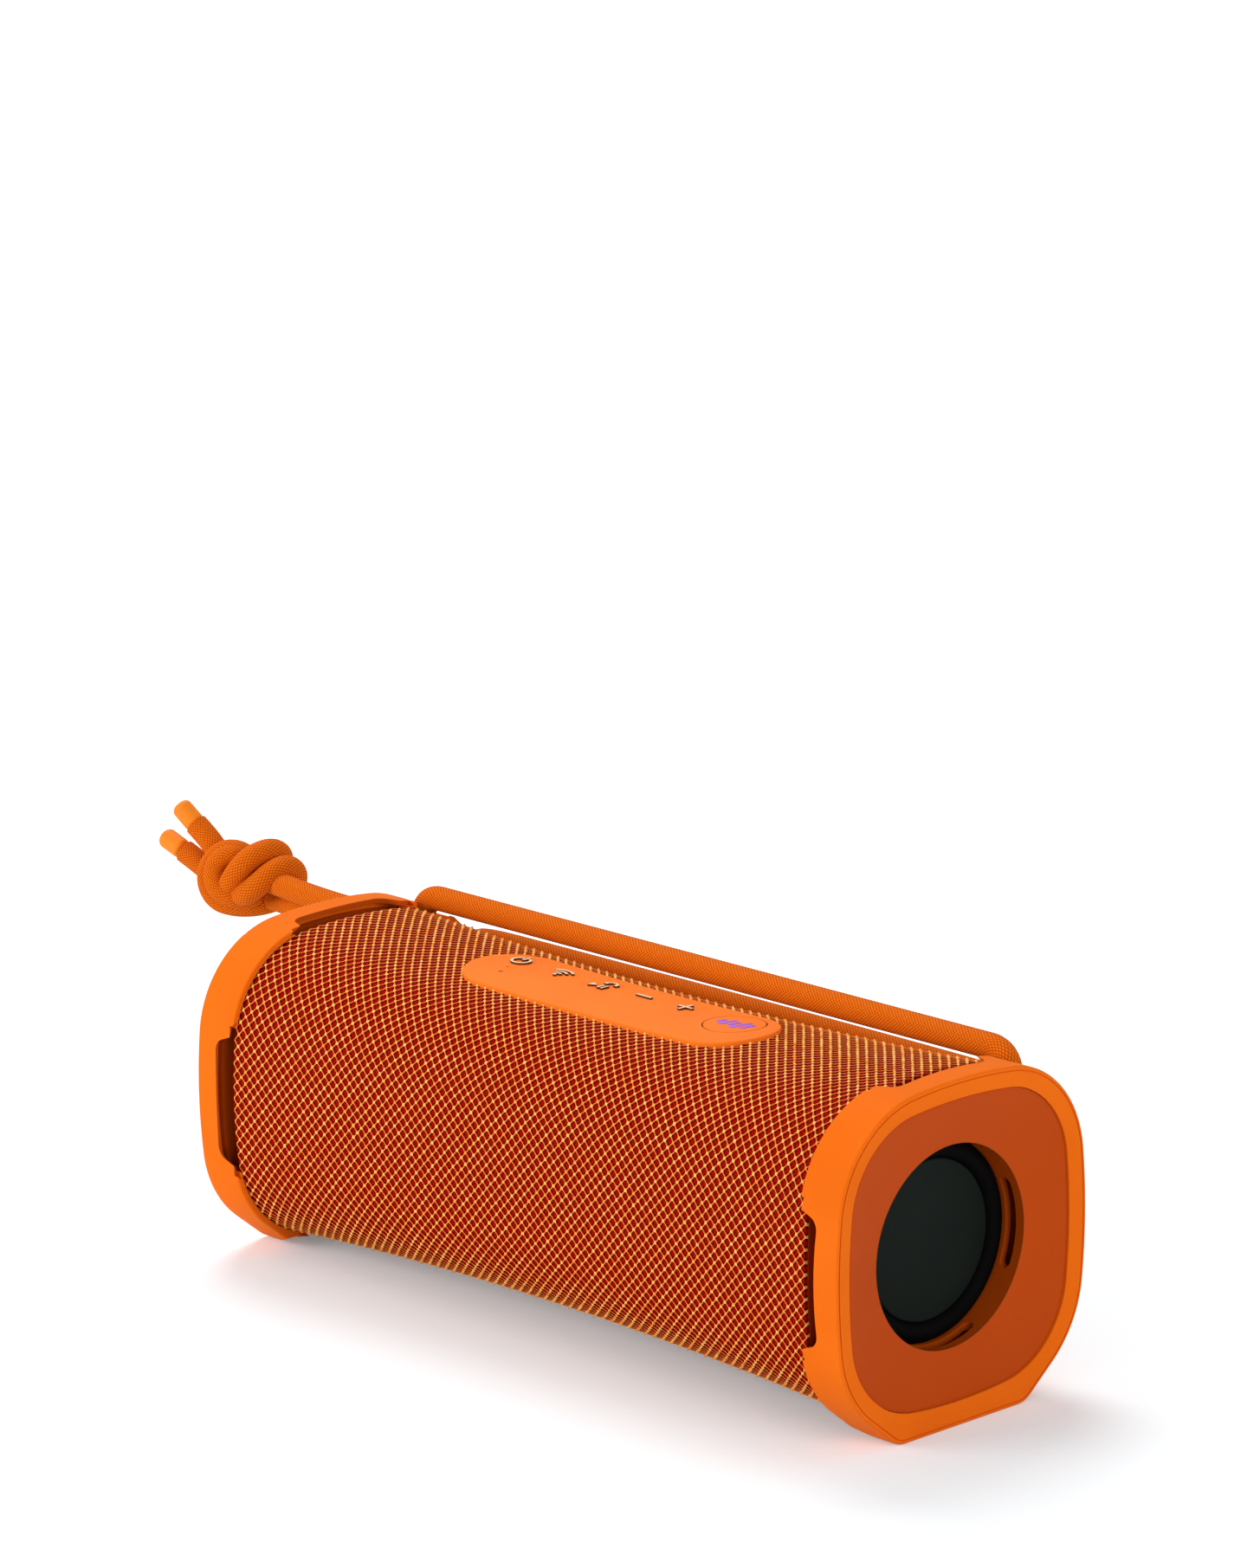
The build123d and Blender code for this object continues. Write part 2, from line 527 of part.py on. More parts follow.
with BuildPart() as woofer_grille:
    add(grille_layer)
    add(stadium_bar(WOOFER_X, CENTRE_Z, WOOFER_LENGTH + 2.0, WOOFER_HEIGHT + 2.0, -HALF_SIZE, 0),
        mode=Mode.INTERSECT)
    with BuildSketch(front(-HALF_SIZE)) as slots:
        with Locations((WOOFER_X, 0)):
            with GridLocations(SLOT_PITCH, WOOFER_HEIGHT / 2, SLOT_COUNT, 2):
                SlotOverall(WOOFER_HEIGHT / 2 - 3.5, SLOT_WIDTH, rotation=90)
    extrude(amount=-HALF_SIZE, mode=Mode.SUBTRACT)
write(woofer_grille, "woofer_grille")

with BuildPart() as tweeter_grille:
    add(grille_layer)
    with Locations(front(-HALF_SIZE)):
        with Locations((TWEETER_X, 0)):
            Cylinder(TWEETER_RADIUS + 1.0, HALF_SIZE, align=(Align.CENTER, Align.CENTER, Align.MAX),
                     mode=Mode.INTERSECT)
            with PolarLocations(7.4, 6):
                Cylinder(3.0, HALF_SIZE, align=(Align.CENTER, Align.CENTER, Align.MAX), mode=Mode.SUBTRACT)
            Cylinder(3.0, HALF_SIZE, align=(Align.CENTER, Align.CENTER, Align.MAX), mode=Mode.SUBTRACT)
write(tweeter_grille, "tweeter_grille")


# ---------------------------------------------------------------- woofer
FLANGE_Y = BAFFLE_Y - 0.05
with BuildPart() as woofer_basket:
    with BuildSketch(front(FLANGE_Y)) as rim:
        with Locations((WOOFER_X, 0)):
            SlotOverall(WOOFER_LENGTH, WOOFER_HEIGHT)
            SlotOverall(BASKET_LENGTH - 3.4, BASKET_HEIGHT - 3.4, mode=Mode.SUBTRACT)
            with GridLocations(WOOFER_SCREWS[0], WOOFER_SCREWS[1], 2, 2):
                Circle(SMALL_SCREW + 0.1, mode=Mode.SUBTRACT)
    extrude(amount=BASKET_FLANGE)
    with BuildSketch(front(FLANGE_Y)):
        with Locations((WOOFER_X, 0)):
            SlotOverall(BASKET_LENGTH, BASKET_HEIGHT)
    with BuildSketch(front(MAGNET_Y - 1.2)):
        with Locations((WOOFER_X, 0)):
            SlotOverall(2 * MAGNET_RADIUS + 3, 2 * MAGNET_RADIUS + 1)
    loft()
    with BuildSketch(front(FLANGE_Y)):
        with Locations((WOOFER_X, 0)):
            SlotOverall(BASKET_LENGTH - 3.4, BASKET_HEIGHT - 3.4)
    with BuildSketch(front(MAGNET_Y - 1.2)):
        with Locations((WOOFER_X, 0)):
            SlotOverall(2 * MAGNET_RADIUS, 2 * MAGNET_RADIUS - 2)
    loft(mode=Mode.SUBTRACT)
    with BuildSketch(front(MAGNET_Y - 1.2)):
        with Locations((WOOFER_X, 0)):
            SlotOverall(2 * MAGNET_RADIUS + 3, 2 * MAGNET_RADIUS + 1)
            Circle(GAP_RADIUS[1] + 0.4, mode=Mode.SUBTRACT)
    extrude(amount=-1.2)
    # windows behind the cone
    for window_x in (-24.0, 0.0, 24.0):
        with Locations((WOOFER_X + window_x, (FLANGE_Y + MAGNET_Y) / 2, CENTRE_Z)):
            Box(15.0, 6.4, 2 * WOOFER_HEIGHT, mode=Mode.SUBTRACT)
write(woofer_basket, "woofer_basket")

with BuildPart() as woofer_magnet:
    with Locations(front(MAGNET_Y)):
        with Locations((WOOFER_X, 0)):
            Cylinder(MAGNET_RADIUS, MAGNET_LENGTH, align=(Align.CENTER, Align.CENTER, Align.MAX))
    with BuildSketch(front(MAGNET_Y)):
        with Locations((WOOFER_X, 0)):
            Circle(GAP_RADIUS[1])
            Circle(GAP_RADIUS[0], mode=Mode.SUBTRACT)
    extrude(amount=-GAP_DEPTH, mode=Mode.SUBTRACT)
    chamfer(woofer_magnet.edges().group_by(Axis.Y)[-1], 1.0)
write(woofer_magnet, "woofer_magnet")

with BuildPart() as woofer_surround:
    roll_path = front(FLANGE_Y - BASKET_FLANGE)
    with BuildSketch(roll_path):
        with Locations((WOOFER_X, 0)):
            SlotOverall(SEAT_LENGTH + 0.8, SEAT_HEIGHT + 0.8)
            SlotOverall(CONE_LENGTH, CONE_HEIGHT, mode=Mode.SUBTRACT)
    extrude(amount=RUBBER)
    with BuildSketch(roll_path.offset(RUBBER)):
        with Locations((WOOFER_X, 0)):
            SlotOverall(SEAT_LENGTH - 1.0, SEAT_HEIGHT - 1.0)
            SlotOverall(CONE_LENGTH + 0.6, CONE_HEIGHT + 0.6, mode=Mode.SUBTRACT)
    extrude(amount=ROLL_HEIGHT, taper=24)
    with BuildSketch(roll_path):
        with Locations((WOOFER_X, 0)):
            SlotOverall(SEAT_LENGTH - 1.0 - 2 * RUBBER, SEAT_HEIGHT - 1.0 - 2 * RUBBER)
            SlotOverall(CONE_LENGTH + 0.6 + 2 * RUBBER, CONE_HEIGHT + 0.6 + 2 * RUBBER, mode=Mode.SUBTRACT)
    extrude(amount=ROLL_HEIGHT, taper=24, mode=Mode.SUBTRACT)
write(woofer_surround, "woofer_surround")

with BuildPart() as woofer_cone:
    cone_front = FLANGE_Y - BASKET_FLANGE - 0.1
    with BuildSketch(front(cone_front)):
        with Locations((WOOFER_X, 0)):
            SlotOverall(CONE_LENGTH - 0.4, CONE_HEIGHT - 0.4)
    with BuildSketch(front(CONE_BACK_Y)):
        with Locations((WOOFER_X, 0)):
            SlotOverall(2 * COIL_RADIUS + 4, 2 * COIL_RADIUS + 1)
    loft()
    with BuildSketch(front(cone_front)):
        with Locations((WOOFER_X, 0)):
            SlotOverall(CONE_LENGTH - 2.4, CONE_HEIGHT - 2.4)
    with BuildSketch(front(CONE_BACK_Y + 0.01)):
        with Locations((WOOFER_X, 0)):
            SlotOverall(2 * COIL_RADIUS + 2, 2 * COIL_RADIUS - 1)
    loft(mode=Mode.SUBTRACT)
    with Locations(front(CONE_BACK_Y)):
        with Locations((WOOFER_X, 0)):
            Cylinder(COIL_RADIUS + 0.5, 1.0, align=(Align.CENTER, Align.CENTER, Align.MIN))
            Cylinder(COIL_RADIUS, COIL_LENGTH, align=(Align.CENTER, Align.CENTER, Align.MAX))
            Cylinder(COIL_RADIUS - 0.8, COIL_LENGTH, align=(Align.CENTER, Align.CENTER, Align.MAX),
                     mode=Mode.SUBTRACT)
write(woofer_cone, "woofer_cone")

with BuildPart() as woofer_spider:
    with BuildSketch(front(SPIDER_Y)):
        with Locations((WOOFER_X, 0)):
            Circle(SPIDER_RADIUS)
            Circle(COIL_RADIUS + 0.2, mode=Mode.SUBTRACT)
    extrude(amount=0.5)
    with BuildSketch(front(SPIDER_Y)):
        with Locations((WOOFER_X, 0)):
            Circle(SPIDER_RADIUS - 1.4)
            Circle(SPIDER_RADIUS - 2.4, mode=Mode.SUBTRACT)
            Circle(SPIDER_RADIUS - 3.6)
            Circle(SPIDER_RADIUS - 4.6, mode=Mode.SUBTRACT)
    extrude(amount=1.0)
write(woofer_spider, "woofer_spider")


# ---------------------------------------------------------------- tweeter
with BuildPart() as tweeter_housing:
    with BuildSketch(front(FLANGE_Y)):
        with Locations((TWEETER_X, 0)):
            Circle(TWEETER_RADIUS)
    extrude(amount=1.8)
    with BuildSketch(front(FLANGE_Y)):
        with Locations((TWEETER_X, 0)):
            Circle(TWEETER_BODY)
    extrude(amount=-9.0)
    with BuildSketch(front(FLANGE_Y + 1.0)):
        with Locations((TWEETER_X, 0)):
            Circle(DOME_RADIUS + 1.2)
    extrude(amount=4.0, mode=Mode.SUBTRACT)
write(tweeter_housing, "tweeter_housing")

with BuildPart() as tweeter_dome:
    with Locations((TWEETER_X, FLANGE_Y + DOME_SPHERE - 3.2, CENTRE_Z)):
        Sphere(DOME_SPHERE)
    with Locations(front(FLANGE_Y + 0.4)):
        with Locations((TWEETER_X, 0)):
            Cylinder(DOME_RADIUS, 8, align=(Align.CENTER, Align.CENTER, Align.MIN), mode=Mode.INTERSECT)
write(tweeter_dome, "tweeter_dome")


# ---------------------------------------------------------------- control panel and keys
with BuildPart() as panel_prism:
    with BuildSketch(Plane.XY.offset(CENTRE_Z)):
        with Locations((PANEL_X, 0)):
            SlotOverall(PANEL_LENGTH, PANEL_WIDTH)
    extrude(amount=HALF_SIZE + 3)

with BuildPart() as control_panel:
    add(layer(-PANEL_PROUD, HOUSING_BELOW - 0.05))
    add(panel_prism.part, mode=Mode.INTERSECT)
    with BuildSketch(Plane.XY.offset(CENTRE_Z)):
        with Locations(*[(x, KEY_Y) for x in KEY_X]):
            Circle(KEY_RADIUS + 0.2)
        with Locations((BOOST_X, BOOST_Y)):
            Circle(BOOST_RADIUS + 0.25)
        with Locations(LIGHT_AT, MICROPHONE_AT):
            Circle(LIGHT_RADIUS)
    extrude(amount=HALF_SIZE + 3, mode=Mode.SUBTRACT)
write(control_panel, "control_panel")

panel_top = waisted(-PANEL_PROUD)
SWITCH_TOP = KEY_BOARD_Z + BOARD + 1.9
for name, x, y, radius in [(n, x, KEY_Y, KEY_RADIUS) for n, x in zip(KEY_NAMES, KEY_X)] + [
    ("boost_key", BOOST_X, BOOST_Y, BOOST_RADIUS)
]:
    with BuildPart() as key:
        with BuildSketch(Plane.XY.offset(cloth_top(x) - 0.45)):
            with Locations((x, y)):
                Circle(radius)
        extrude(amount=4)
        add(panel_top, mode=Mode.INTERSECT)
        with BuildSketch(Plane.XY.offset(SWITCH_TOP + KEY_TRAVEL)):
            with Locations((x, y)):
                Circle(STEM_RADIUS)
        extrude(amount=cloth_top(x) - 0.3 - SWITCH_TOP - KEY_TRAVEL)
    write(key, name)

with BuildPart() as key_board:
    with BuildSketch(Plane.XY.offset(KEY_BOARD_Z)):
        with Locations((PANEL_X, 2.0)):
            RectangleRounded(92.0, 22.0, 2.0)
        with Locations(*BOARD_POSTS):
            Circle(SCREW_RADIUS + 0.1, mode=Mode.SUBTRACT)
    extrude(amount=BOARD)
write(key_board, "key_board")

with BuildPart() as tact_switches:
    with BuildSketch(Plane.XY.offset(KEY_BOARD_Z + BOARD)):
        with Locations(*[(x, KEY_Y) for x in KEY_X], (BOOST_X, BOOST_Y)):
            Rectangle(4.5, 4.5)
    extrude(amount=1.3)
    with BuildSketch(Plane.XY.offset(KEY_BOARD_Z + BOARD + 1.3)):
        with Locations(*[(x, KEY_Y) for x in KEY_X], (BOOST_X, BOOST_Y)):
            Circle(1.1)
    extrude(amount=0.6)
write(tact_switches, "tact_switches")

with BuildPart() as charge_light:
    with BuildSketch(Plane.XY.offset(KEY_BOARD_Z + BOARD)):
        with Locations(LIGHT_AT):
            Circle(LIGHT_RADIUS - 0.05)
    extrude(amount=cloth_top(LIGHT_AT[0]) + PANEL_PROUD - 0.2 - KEY_BOARD_Z - BOARD)
write(charge_light, "charge_light")

with BuildPart() as microphone:
    with BuildSketch(Plane.XY.offset(KEY_BOARD_Z + BOARD)):
        with Locations(MICROPHONE_AT):
            Rectangle(2.4, 1.8)
    extrude(amount=1.0)
write(microphone, "microphone")


# ---------------------------------------------------------------- battery
inside_clear = waisted(HOUSING_BELOW + WALL + 0.3)

with BuildPart() as battery_cells:
    for lift in (-CELL_PITCH / 2, CELL_PITCH / 2):
        with Locations((CELL_X, CELL_Y, CENTRE_Z + lift)):
            Cylinder(CELL_RADIUS, CELL_LENGTH, rotation=(0, 90, 0))
write(battery_cells, "battery_cells")

with BuildPart() as battery_holder:
    for end in (-1, 1):
        with Locations((CELL_X + end * (CELL_LENGTH / 2 + 1.5), CELL_Y + 0.6, CENTRE_Z)):
            Box(2.4, 20.4, 2 * CELL_RADIUS + CELL_PITCH + 1.0)
    with Locations((CELL_X, CELL_Y + CELL_RADIUS + 0.8, CENTRE_Z)):
        Box(CELL_LENGTH + 3.2, 1.2, 17.0)
    add(inside_clear, mode=Mode.INTERSECT)
write(battery_holder, "battery_holder")


# ---------------------------------------------------------------- main board
with BuildPart() as main_board:
    with BuildSketch(Plane.XZ.offset(-MAIN_BOARD_Y)) as outline:
        with Locations((45.0, CENTRE_Z)):
            RectangleRounded(74.0, 43.4, 2.0)
        with Locations(*MAIN_POSTS):
            Circle(SCREW_RADIUS + 0.1, mode=Mode.SUBTRACT)
    extrude(amount=-BOARD)
write(main_board, "main_board")

# components on the board's front: x, z, width, height, depth
BOARD_BLOCKS = [
    (30.0, 44.0, 9.0, 9.0, 1.2), (48.0, 47.0, 7.0, 7.0, 1.0), (64.0, 44.0, 6.2, 6.2, 3.0),
    (64.0, 34.0, 6.2, 6.2, 3.0), (20.0, 33.0, 12.0, 5.0, 6.0), (38.0, 32.0, 4.0, 6.0, 1.4),
]
BOARD_CANS = [(22.0, 54.0), (32.0, 55.0), (52.0, 27.0), (66.0, 24.0)]
with BuildPart() as board_components:
    for x, z, width, height, depth in BOARD_BLOCKS:
        with Locations((x, MAIN_BOARD_Y - depth / 2, z)):
            Box(width, depth, height)
    with BuildSketch(Plane.XZ.offset(-MAIN_BOARD_Y)):
        with Locations(*BOARD_CANS):
            Circle(3.1)
    extrude(amount=6.0)
write(board_components, "board_components")

with BuildPart() as usb_socket:
    with BuildSketch(Plane.XZ.offset(-MAIN_BOARD_Y - BOARD)):
        with Locations((PORT_X, PORT_Z)):
            RectangleRounded(9.2, 3.4, 1.4)
    extrude(amount=-(SOCKET_FRONT_Y - MAIN_BOARD_Y - BOARD))
    with BuildSketch(Plane.XZ.offset(-SOCKET_FRONT_Y)):
        with Locations((PORT_X, PORT_Z)):
            RectangleRounded(8.4, 2.6, 1.1)
    extrude(amount=6.0, mode=Mode.SUBTRACT)
    with Locations((PORT_X, SOCKET_FRONT_Y - 3.6, PORT_Z)):
        Box(6.6, 5.2, 0.7)
write(usb_socket, "usb_socket")


# ---------------------------------------------------------------- port frame and its hinged cover
PIN_X = PORT_X - COVER_LENGTH / 2 + COVER_THICK / 2
PIN_Y = PORT_FACE_Y - COVER_THICK / 2
with BuildPart() as port_bezel:
    add(port_bar(PORT_LENGTH, PORT_HEIGHT, PORT_CORNER, PORT_SEAT_Y + 0.05, PORT_FACE_Y))
    fillet(port_bezel.edges().filter_by(Plane.XZ).group_by(Axis.Y)[-1], 0.6)
    add(port_bar(PORT_LENGTH - 3.4, PORT_HEIGHT - 3.4, PORT_CORNER - 1.7, PORT_SEAT_Y - 2.3,
                 PORT_SEAT_Y + 0.05))
    recess_y = PORT_FACE_Y - COVER_THICK - 0.15
    recess = port_bar(COVER_LENGTH + 0.4, COVER_HEIGHT + 0.4, 0.6, recess_y, HALF_SIZE)
    add(recess, mode=Mode.SUBTRACT)
    add(port_bar(14.5, 7.0, 2.0, PORT_SEAT_Y - 3, PORT_FACE_Y), mode=Mode.SUBTRACT)
    with Locations((PIN_X, PIN_Y, PORT_Z)):
        Cylinder(PIN_RADIUS + 0.05, COVER_HEIGHT + 2.0, mode=Mode.SUBTRACT)
write(port_bezel, "port_bezel")

with BuildPart() as port_cover:
    with Locations((PORT_X, PIN_Y, PORT_Z)):
        Box(COVER_LENGTH, COVER_THICK, COVER_HEIGHT)
    fillet(port_cover.edges().filter_by(Axis.Z).group_by(Axis.X)[0], COVER_THICK / 2 - 0.01)
    fillet(port_cover.edges().filter_by(Axis.Y).group_by(Axis.X)[-1], 0.5)
    with BuildSketch(Plane.XZ.offset(-(PORT_FACE_Y - COVER_THICK))):
        with Locations((PORT_X, PORT_Z)):
            RectangleRounded(10.0, 4.4, 1.8)
    extrude(amount=1.9)
    with Locations((PIN_X, PIN_Y, PORT_Z)):
        Cylinder(PIN_RADIUS + 0.05, COVER_HEIGHT, mode=Mode.SUBTRACT)
    # a finger nick at the free edge
    with Locations((PORT_X + COVER_LENGTH / 2, PORT_FACE_Y, PORT_Z)):
        Cylinder(0.6, 5.0, mode=Mode.SUBTRACT)
write(port_cover, "port_cover")

with BuildPart() as port_pin:
    with Locations((PIN_X, PIN_Y, PORT_Z)):
        Cylinder(PIN_RADIUS, COVER_HEIGHT + 1.6)
write(port_pin, "port_pin")


# ---------------------------------------------------------------- screws
with BuildPart() as end_screws:
    for side in (1, -1):
        with BuildSketch(section(side * (FLANGE_X[1] - 1.8))):
            with GridLocations(2 * END_SCREW, 2 * END_SCREW, 2, 2):
                Circle(HEAD_RADIUS)
        extrude(amount=side * 1.5)
        with BuildSketch(section(side * (FLANGE_X[1] - 1.8))):
            with GridLocations(2 * END_SCREW, 2 * END_SCREW, 2, 2):
                Circle(SCREW_RADIUS)
        extrude(amount=-side * BOSS_LENGTH)
write(end_screws, "end_screws")

with BuildPart() as board_screws:
    with BuildSketch(Plane.XZ.offset(-MAIN_BOARD_Y + 0.05)):
        with Locations(*MAIN_POSTS):
            Circle(HEAD_RADIUS)
    extrude(amount=1.2)
    with BuildSketch(Plane.XZ.offset(-MAIN_BOARD_Y + 0.05)):
        with Locations(*MAIN_POSTS):
            Circle(SCREW_RADIUS)
    extrude(amount=-7.5)
    with BuildSketch(Plane.XY.offset(KEY_BOARD_Z - 0.05)):
        with Locations(*BOARD_POSTS):
            Circle(HEAD_RADIUS)
    extrude(amount=-1.2)
    with BuildSketch(Plane.XY.offset(KEY_BOARD_Z - 0.05)):
        with Locations(*BOARD_POSTS):
            Circle(SCREW_RADIUS)
    extrude(amount=4.8)
write(board_screws, "board_screws")

with BuildPart() as woofer_screws:
    for radius, amount in ((SMALL_HEAD, 0.8), (SMALL_SCREW, -5.0)):
        with BuildSketch(front(FLANGE_Y - BASKET_FLANGE - 0.05)):
            with Locations((WOOFER_X, 0)):
                with GridLocations(WOOFER_SCREWS[0], WOOFER_SCREWS[1], 2, 2):
                    Circle(radius)
        extrude(amount=amount)
write(woofer_screws, "woofer_screws")


# ---------------------------------------------------------------- carrying strap
def bend_radius(before, corner, after, share=0.45):
    """The largest bend radius at a corner that uses this share of the shorter run beside it."""
    arriving, leaving = Vector(*corner) - Vector(*before), Vector(*after) - Vector(*corner)
    half_turn = radians(arriving.get_angle(leaving)) / 2
    return share * min(arriving.length, leaving.length) / tan(half_turn)


strap_radii = [
    bend_radius(*STRAP_ROUTE[corner - 1:corner + 2]) for corner in range(1, len(STRAP_ROUTE) - 1)
]
print("strap radii", [round(radius, 1) for radius in strap_radii])

with BuildPart() as strap_cord:
    with BuildLine() as strap_line:
        FilletPolyline(*STRAP_ROUTE, radius=strap_radii)
    with BuildSketch(strap_line.line ^ 0):
        Circle(STRAP / 2)
    sweep()
write(strap_cord, "strap_cord")
print("strap length", round(sum(edge.length for edge in strap_line.edges()), 1))

with BuildPart() as strap_knot:
    with Locations(KNOT_MIDDLE):
        Sphere(KNOT_CORE)
    for middle, axis, radius in KNOT_TURNS:
        with Locations(Plane(origin=middle, z_dir=axis)):
            Torus(radius, STRAP / 2)
write(strap_knot, "strap_knot")

STRAP_TIPS = [((-179.0, 37.6, 65.6), (-198.1, 37.0, 76.6)), ((-183.0, 37.6, 58.6), (-204.4, 37.0, 67.6))]
with BuildPart() as strap_tips:
    for start, finish in STRAP_TIPS:
        direction = Vector(*finish) - Vector(*start)
        with BuildSketch(Plane(origin=start, z_dir=direction)):
            Circle(STRAP / 2)
        extrude(amount=direction.length - 7.0)
        with BuildSketch(Plane(origin=start, z_dir=direction).offset(direction.length - 7.0)):
            Circle(STRAP / 2 - 0.4)
        extrude(amount=7.0)
write(strap_tips, "strap_tips")
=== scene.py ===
"""Dresses a small portable speaker: knitted cloth, soft end caps, a control panel and a rope strap.

Frame: +X runs right along the length, -Y is the front, +Z is up. The blender unit is the metre; sizes in the
classes below are in millimetres.
"""

import logging
import math
from dataclasses import dataclass, field
from enum import Enum

import bmesh
import bpy
from mathutils import Matrix, Vector


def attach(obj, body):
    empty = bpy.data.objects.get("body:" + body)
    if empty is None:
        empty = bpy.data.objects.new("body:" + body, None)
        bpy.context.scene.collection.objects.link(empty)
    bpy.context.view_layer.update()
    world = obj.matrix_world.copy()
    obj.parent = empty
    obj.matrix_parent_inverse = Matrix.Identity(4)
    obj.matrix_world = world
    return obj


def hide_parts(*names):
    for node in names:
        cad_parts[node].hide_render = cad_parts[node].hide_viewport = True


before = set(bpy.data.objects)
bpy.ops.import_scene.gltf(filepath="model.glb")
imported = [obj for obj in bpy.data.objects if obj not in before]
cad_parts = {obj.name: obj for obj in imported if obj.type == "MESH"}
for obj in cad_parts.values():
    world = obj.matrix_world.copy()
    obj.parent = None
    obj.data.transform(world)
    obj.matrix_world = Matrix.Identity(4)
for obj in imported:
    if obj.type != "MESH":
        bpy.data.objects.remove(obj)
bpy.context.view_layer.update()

log = logging.getLogger("speaker")
MM = 0.001


# ---------------------------------------------------------------- shared helpers
def linear(colour: str) -> tuple[float, float, float, float]:
    """Turns an sRGB hex colour into linear values.

    Args:
        colour: Six hex digits after a hash.

    Returns:
        Linear red, green, blue and an alpha of 1.
    """
    values = [int(colour[start:start + 2], 16) / 255 for start in (1, 3, 5)]
    return tuple(v / 12.92 if v <= 0.04045 else ((v + 0.055) / 1.055) ** 2.4 for v in values) + (1.0,)


def per(size: float) -> float:
    """Returns the texture scale at which one repeat is this many millimetres on Object coordinates."""
    return 1.0 / (size * MM)


def add_node(material: bpy.types.ID, kind: str, settings: dict | None = None,
             links: dict | None = None) -> bpy.types.Node:
    """Adds one shader node with its settings and links.

    Args:
        material: The material or world that the node goes into.
        kind: The node's type.
        settings: Values by socket identifier, socket name or property name; colours may be hex strings,
            and "stops" gives a colour ramp's places and colours.
        links: What feeds each input, by the input's identifier or name: an output socket, or a node whose
            first output is meant.

    Returns:
        The new node.
    """
    tree = material.node_tree
    node = tree.nodes.new(kind)

    def socket(key: str) -> bpy.types.NodeSocket | None:
        """Returns the input with this identifier, or else with this name."""
        by_identifier = [s for s in node.inputs if s.identifier == key]
        return (by_identifier or [s for s in node.inputs if s.name == key] or [None])[0]

    for key, value in (settings or {}).items():
        if isinstance(value, str) and value.startswith("#"):
            value = linear(value)
        if key == "stops":
            ramp = node.color_ramp
            while len(ramp.elements) < len(value):
                ramp.elements.new(1.0)
            for element, (place, colour) in zip(ramp.elements, value):
                element.position, element.color = place, linear(colour)
        elif hasattr(node, key) and socket(key) is None:
            setattr(node, key, value)
        else:
            socket(key).default_value = value
    for key, source in (links or {}).items():
        tree.links.new(source.outputs[0] if isinstance(source, bpy.types.Node) else source, socket(key))
    return node


def new_material(name: str) -> bpy.types.Material:
    """Makes a node material without any nodes.

    Args:
        name: Its name.

    Returns:
        The material.
    """
    material = bpy.data.materials.new(name)
    material.use_nodes = True
    material.node_tree.nodes.clear()
    return material


def finish_material(material: bpy.types.Material, shader: bpy.types.Node) -> bpy.types.Material:
    """Joins a shader to the material's output and returns the material."""
    add_node(material, "ShaderNodeOutputMaterial", links={"Surface": shader})
    return material


def grow(bm: bmesh.types.BMesh,
         edges: list[bmesh.types.BMEdge]) -> tuple[list[bmesh.types.BMVert], list[bmesh.types.BMEdge]]:
    """Extrudes edges in place.

    Args:
        bm: The shape.
        edges: Edges of the shape.

    Returns:
        The new vertices and the new edges, ready to be moved.
    """
    grown = bmesh.ops.extrude_edge_only(bm, edges=edges)["geom"]
    return ([g for g in grown if isinstance(g, bmesh.types.BMVert)],
            [g for g in grown if isinstance(g, bmesh.types.BMEdge)])


def cut(bm: bmesh.types.BMesh, point: Vector, normal: Vector, clear_beyond: bool = False) -> None:
    """Cuts a whole shape along a plane.

    Args:
        bm: The shape, still in millimetres.
        point: A point of the plane.
        normal: The plane's normal.
        clear_beyond: Whether what lies beyond the plane is taken away.
    """
    bmesh.ops.bisect_plane(bm, geom=[*bm.verts, *bm.edges, *bm.faces], dist=1e-4, plane_co=point, plane_no=normal,
                           clear_outer=clear_beyond)


def new_piece(name: str, bm: bmesh.types.BMesh, finish: "Finish", body: str,
              sharp: float = 40.0) -> bpy.types.Object:
    """Makes an object of a finished bmesh and places it on its body.

    Args:
        name: The piece's name.
        bm: The shape in metres; it is freed.
        finish: The piece's finish.
        body: The CAD body that it rides on.
        sharp: The angle in degrees past which an edge stays sharp.

    Returns:
        The new object.
    """
    mesh = bpy.data.meshes.new(name)
    for face in bm.faces:
        face.smooth = True
    for edge in bm.edges:
        if len(edge.link_faces) == 2 and edge.calc_face_angle(0.0) > math.radians(sharp):
            edge.smooth = False
    bm.to_mesh(mesh)
    bm.free()
    mesh.materials.append(finish.material)
    piece = bpy.data.objects.new(name, mesh)
    bpy.context.scene.collection.objects.link(piece)
    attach(piece, body)
    log.info("%s: %d faces on %s", name, len(mesh.polygons), body)
    return piece


def dress(finish: "Finish", *nodes: str) -> None:
    """Gives CAD nodes a finish.

    Args:
        finish: The finish.
        nodes: The nodes' names.
    """
    for name in nodes:
        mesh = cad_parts[name].data
        mesh.materials.clear()
        mesh.materials.append(finish.material)
        log.info("%s: %s", name, finish.value.name)


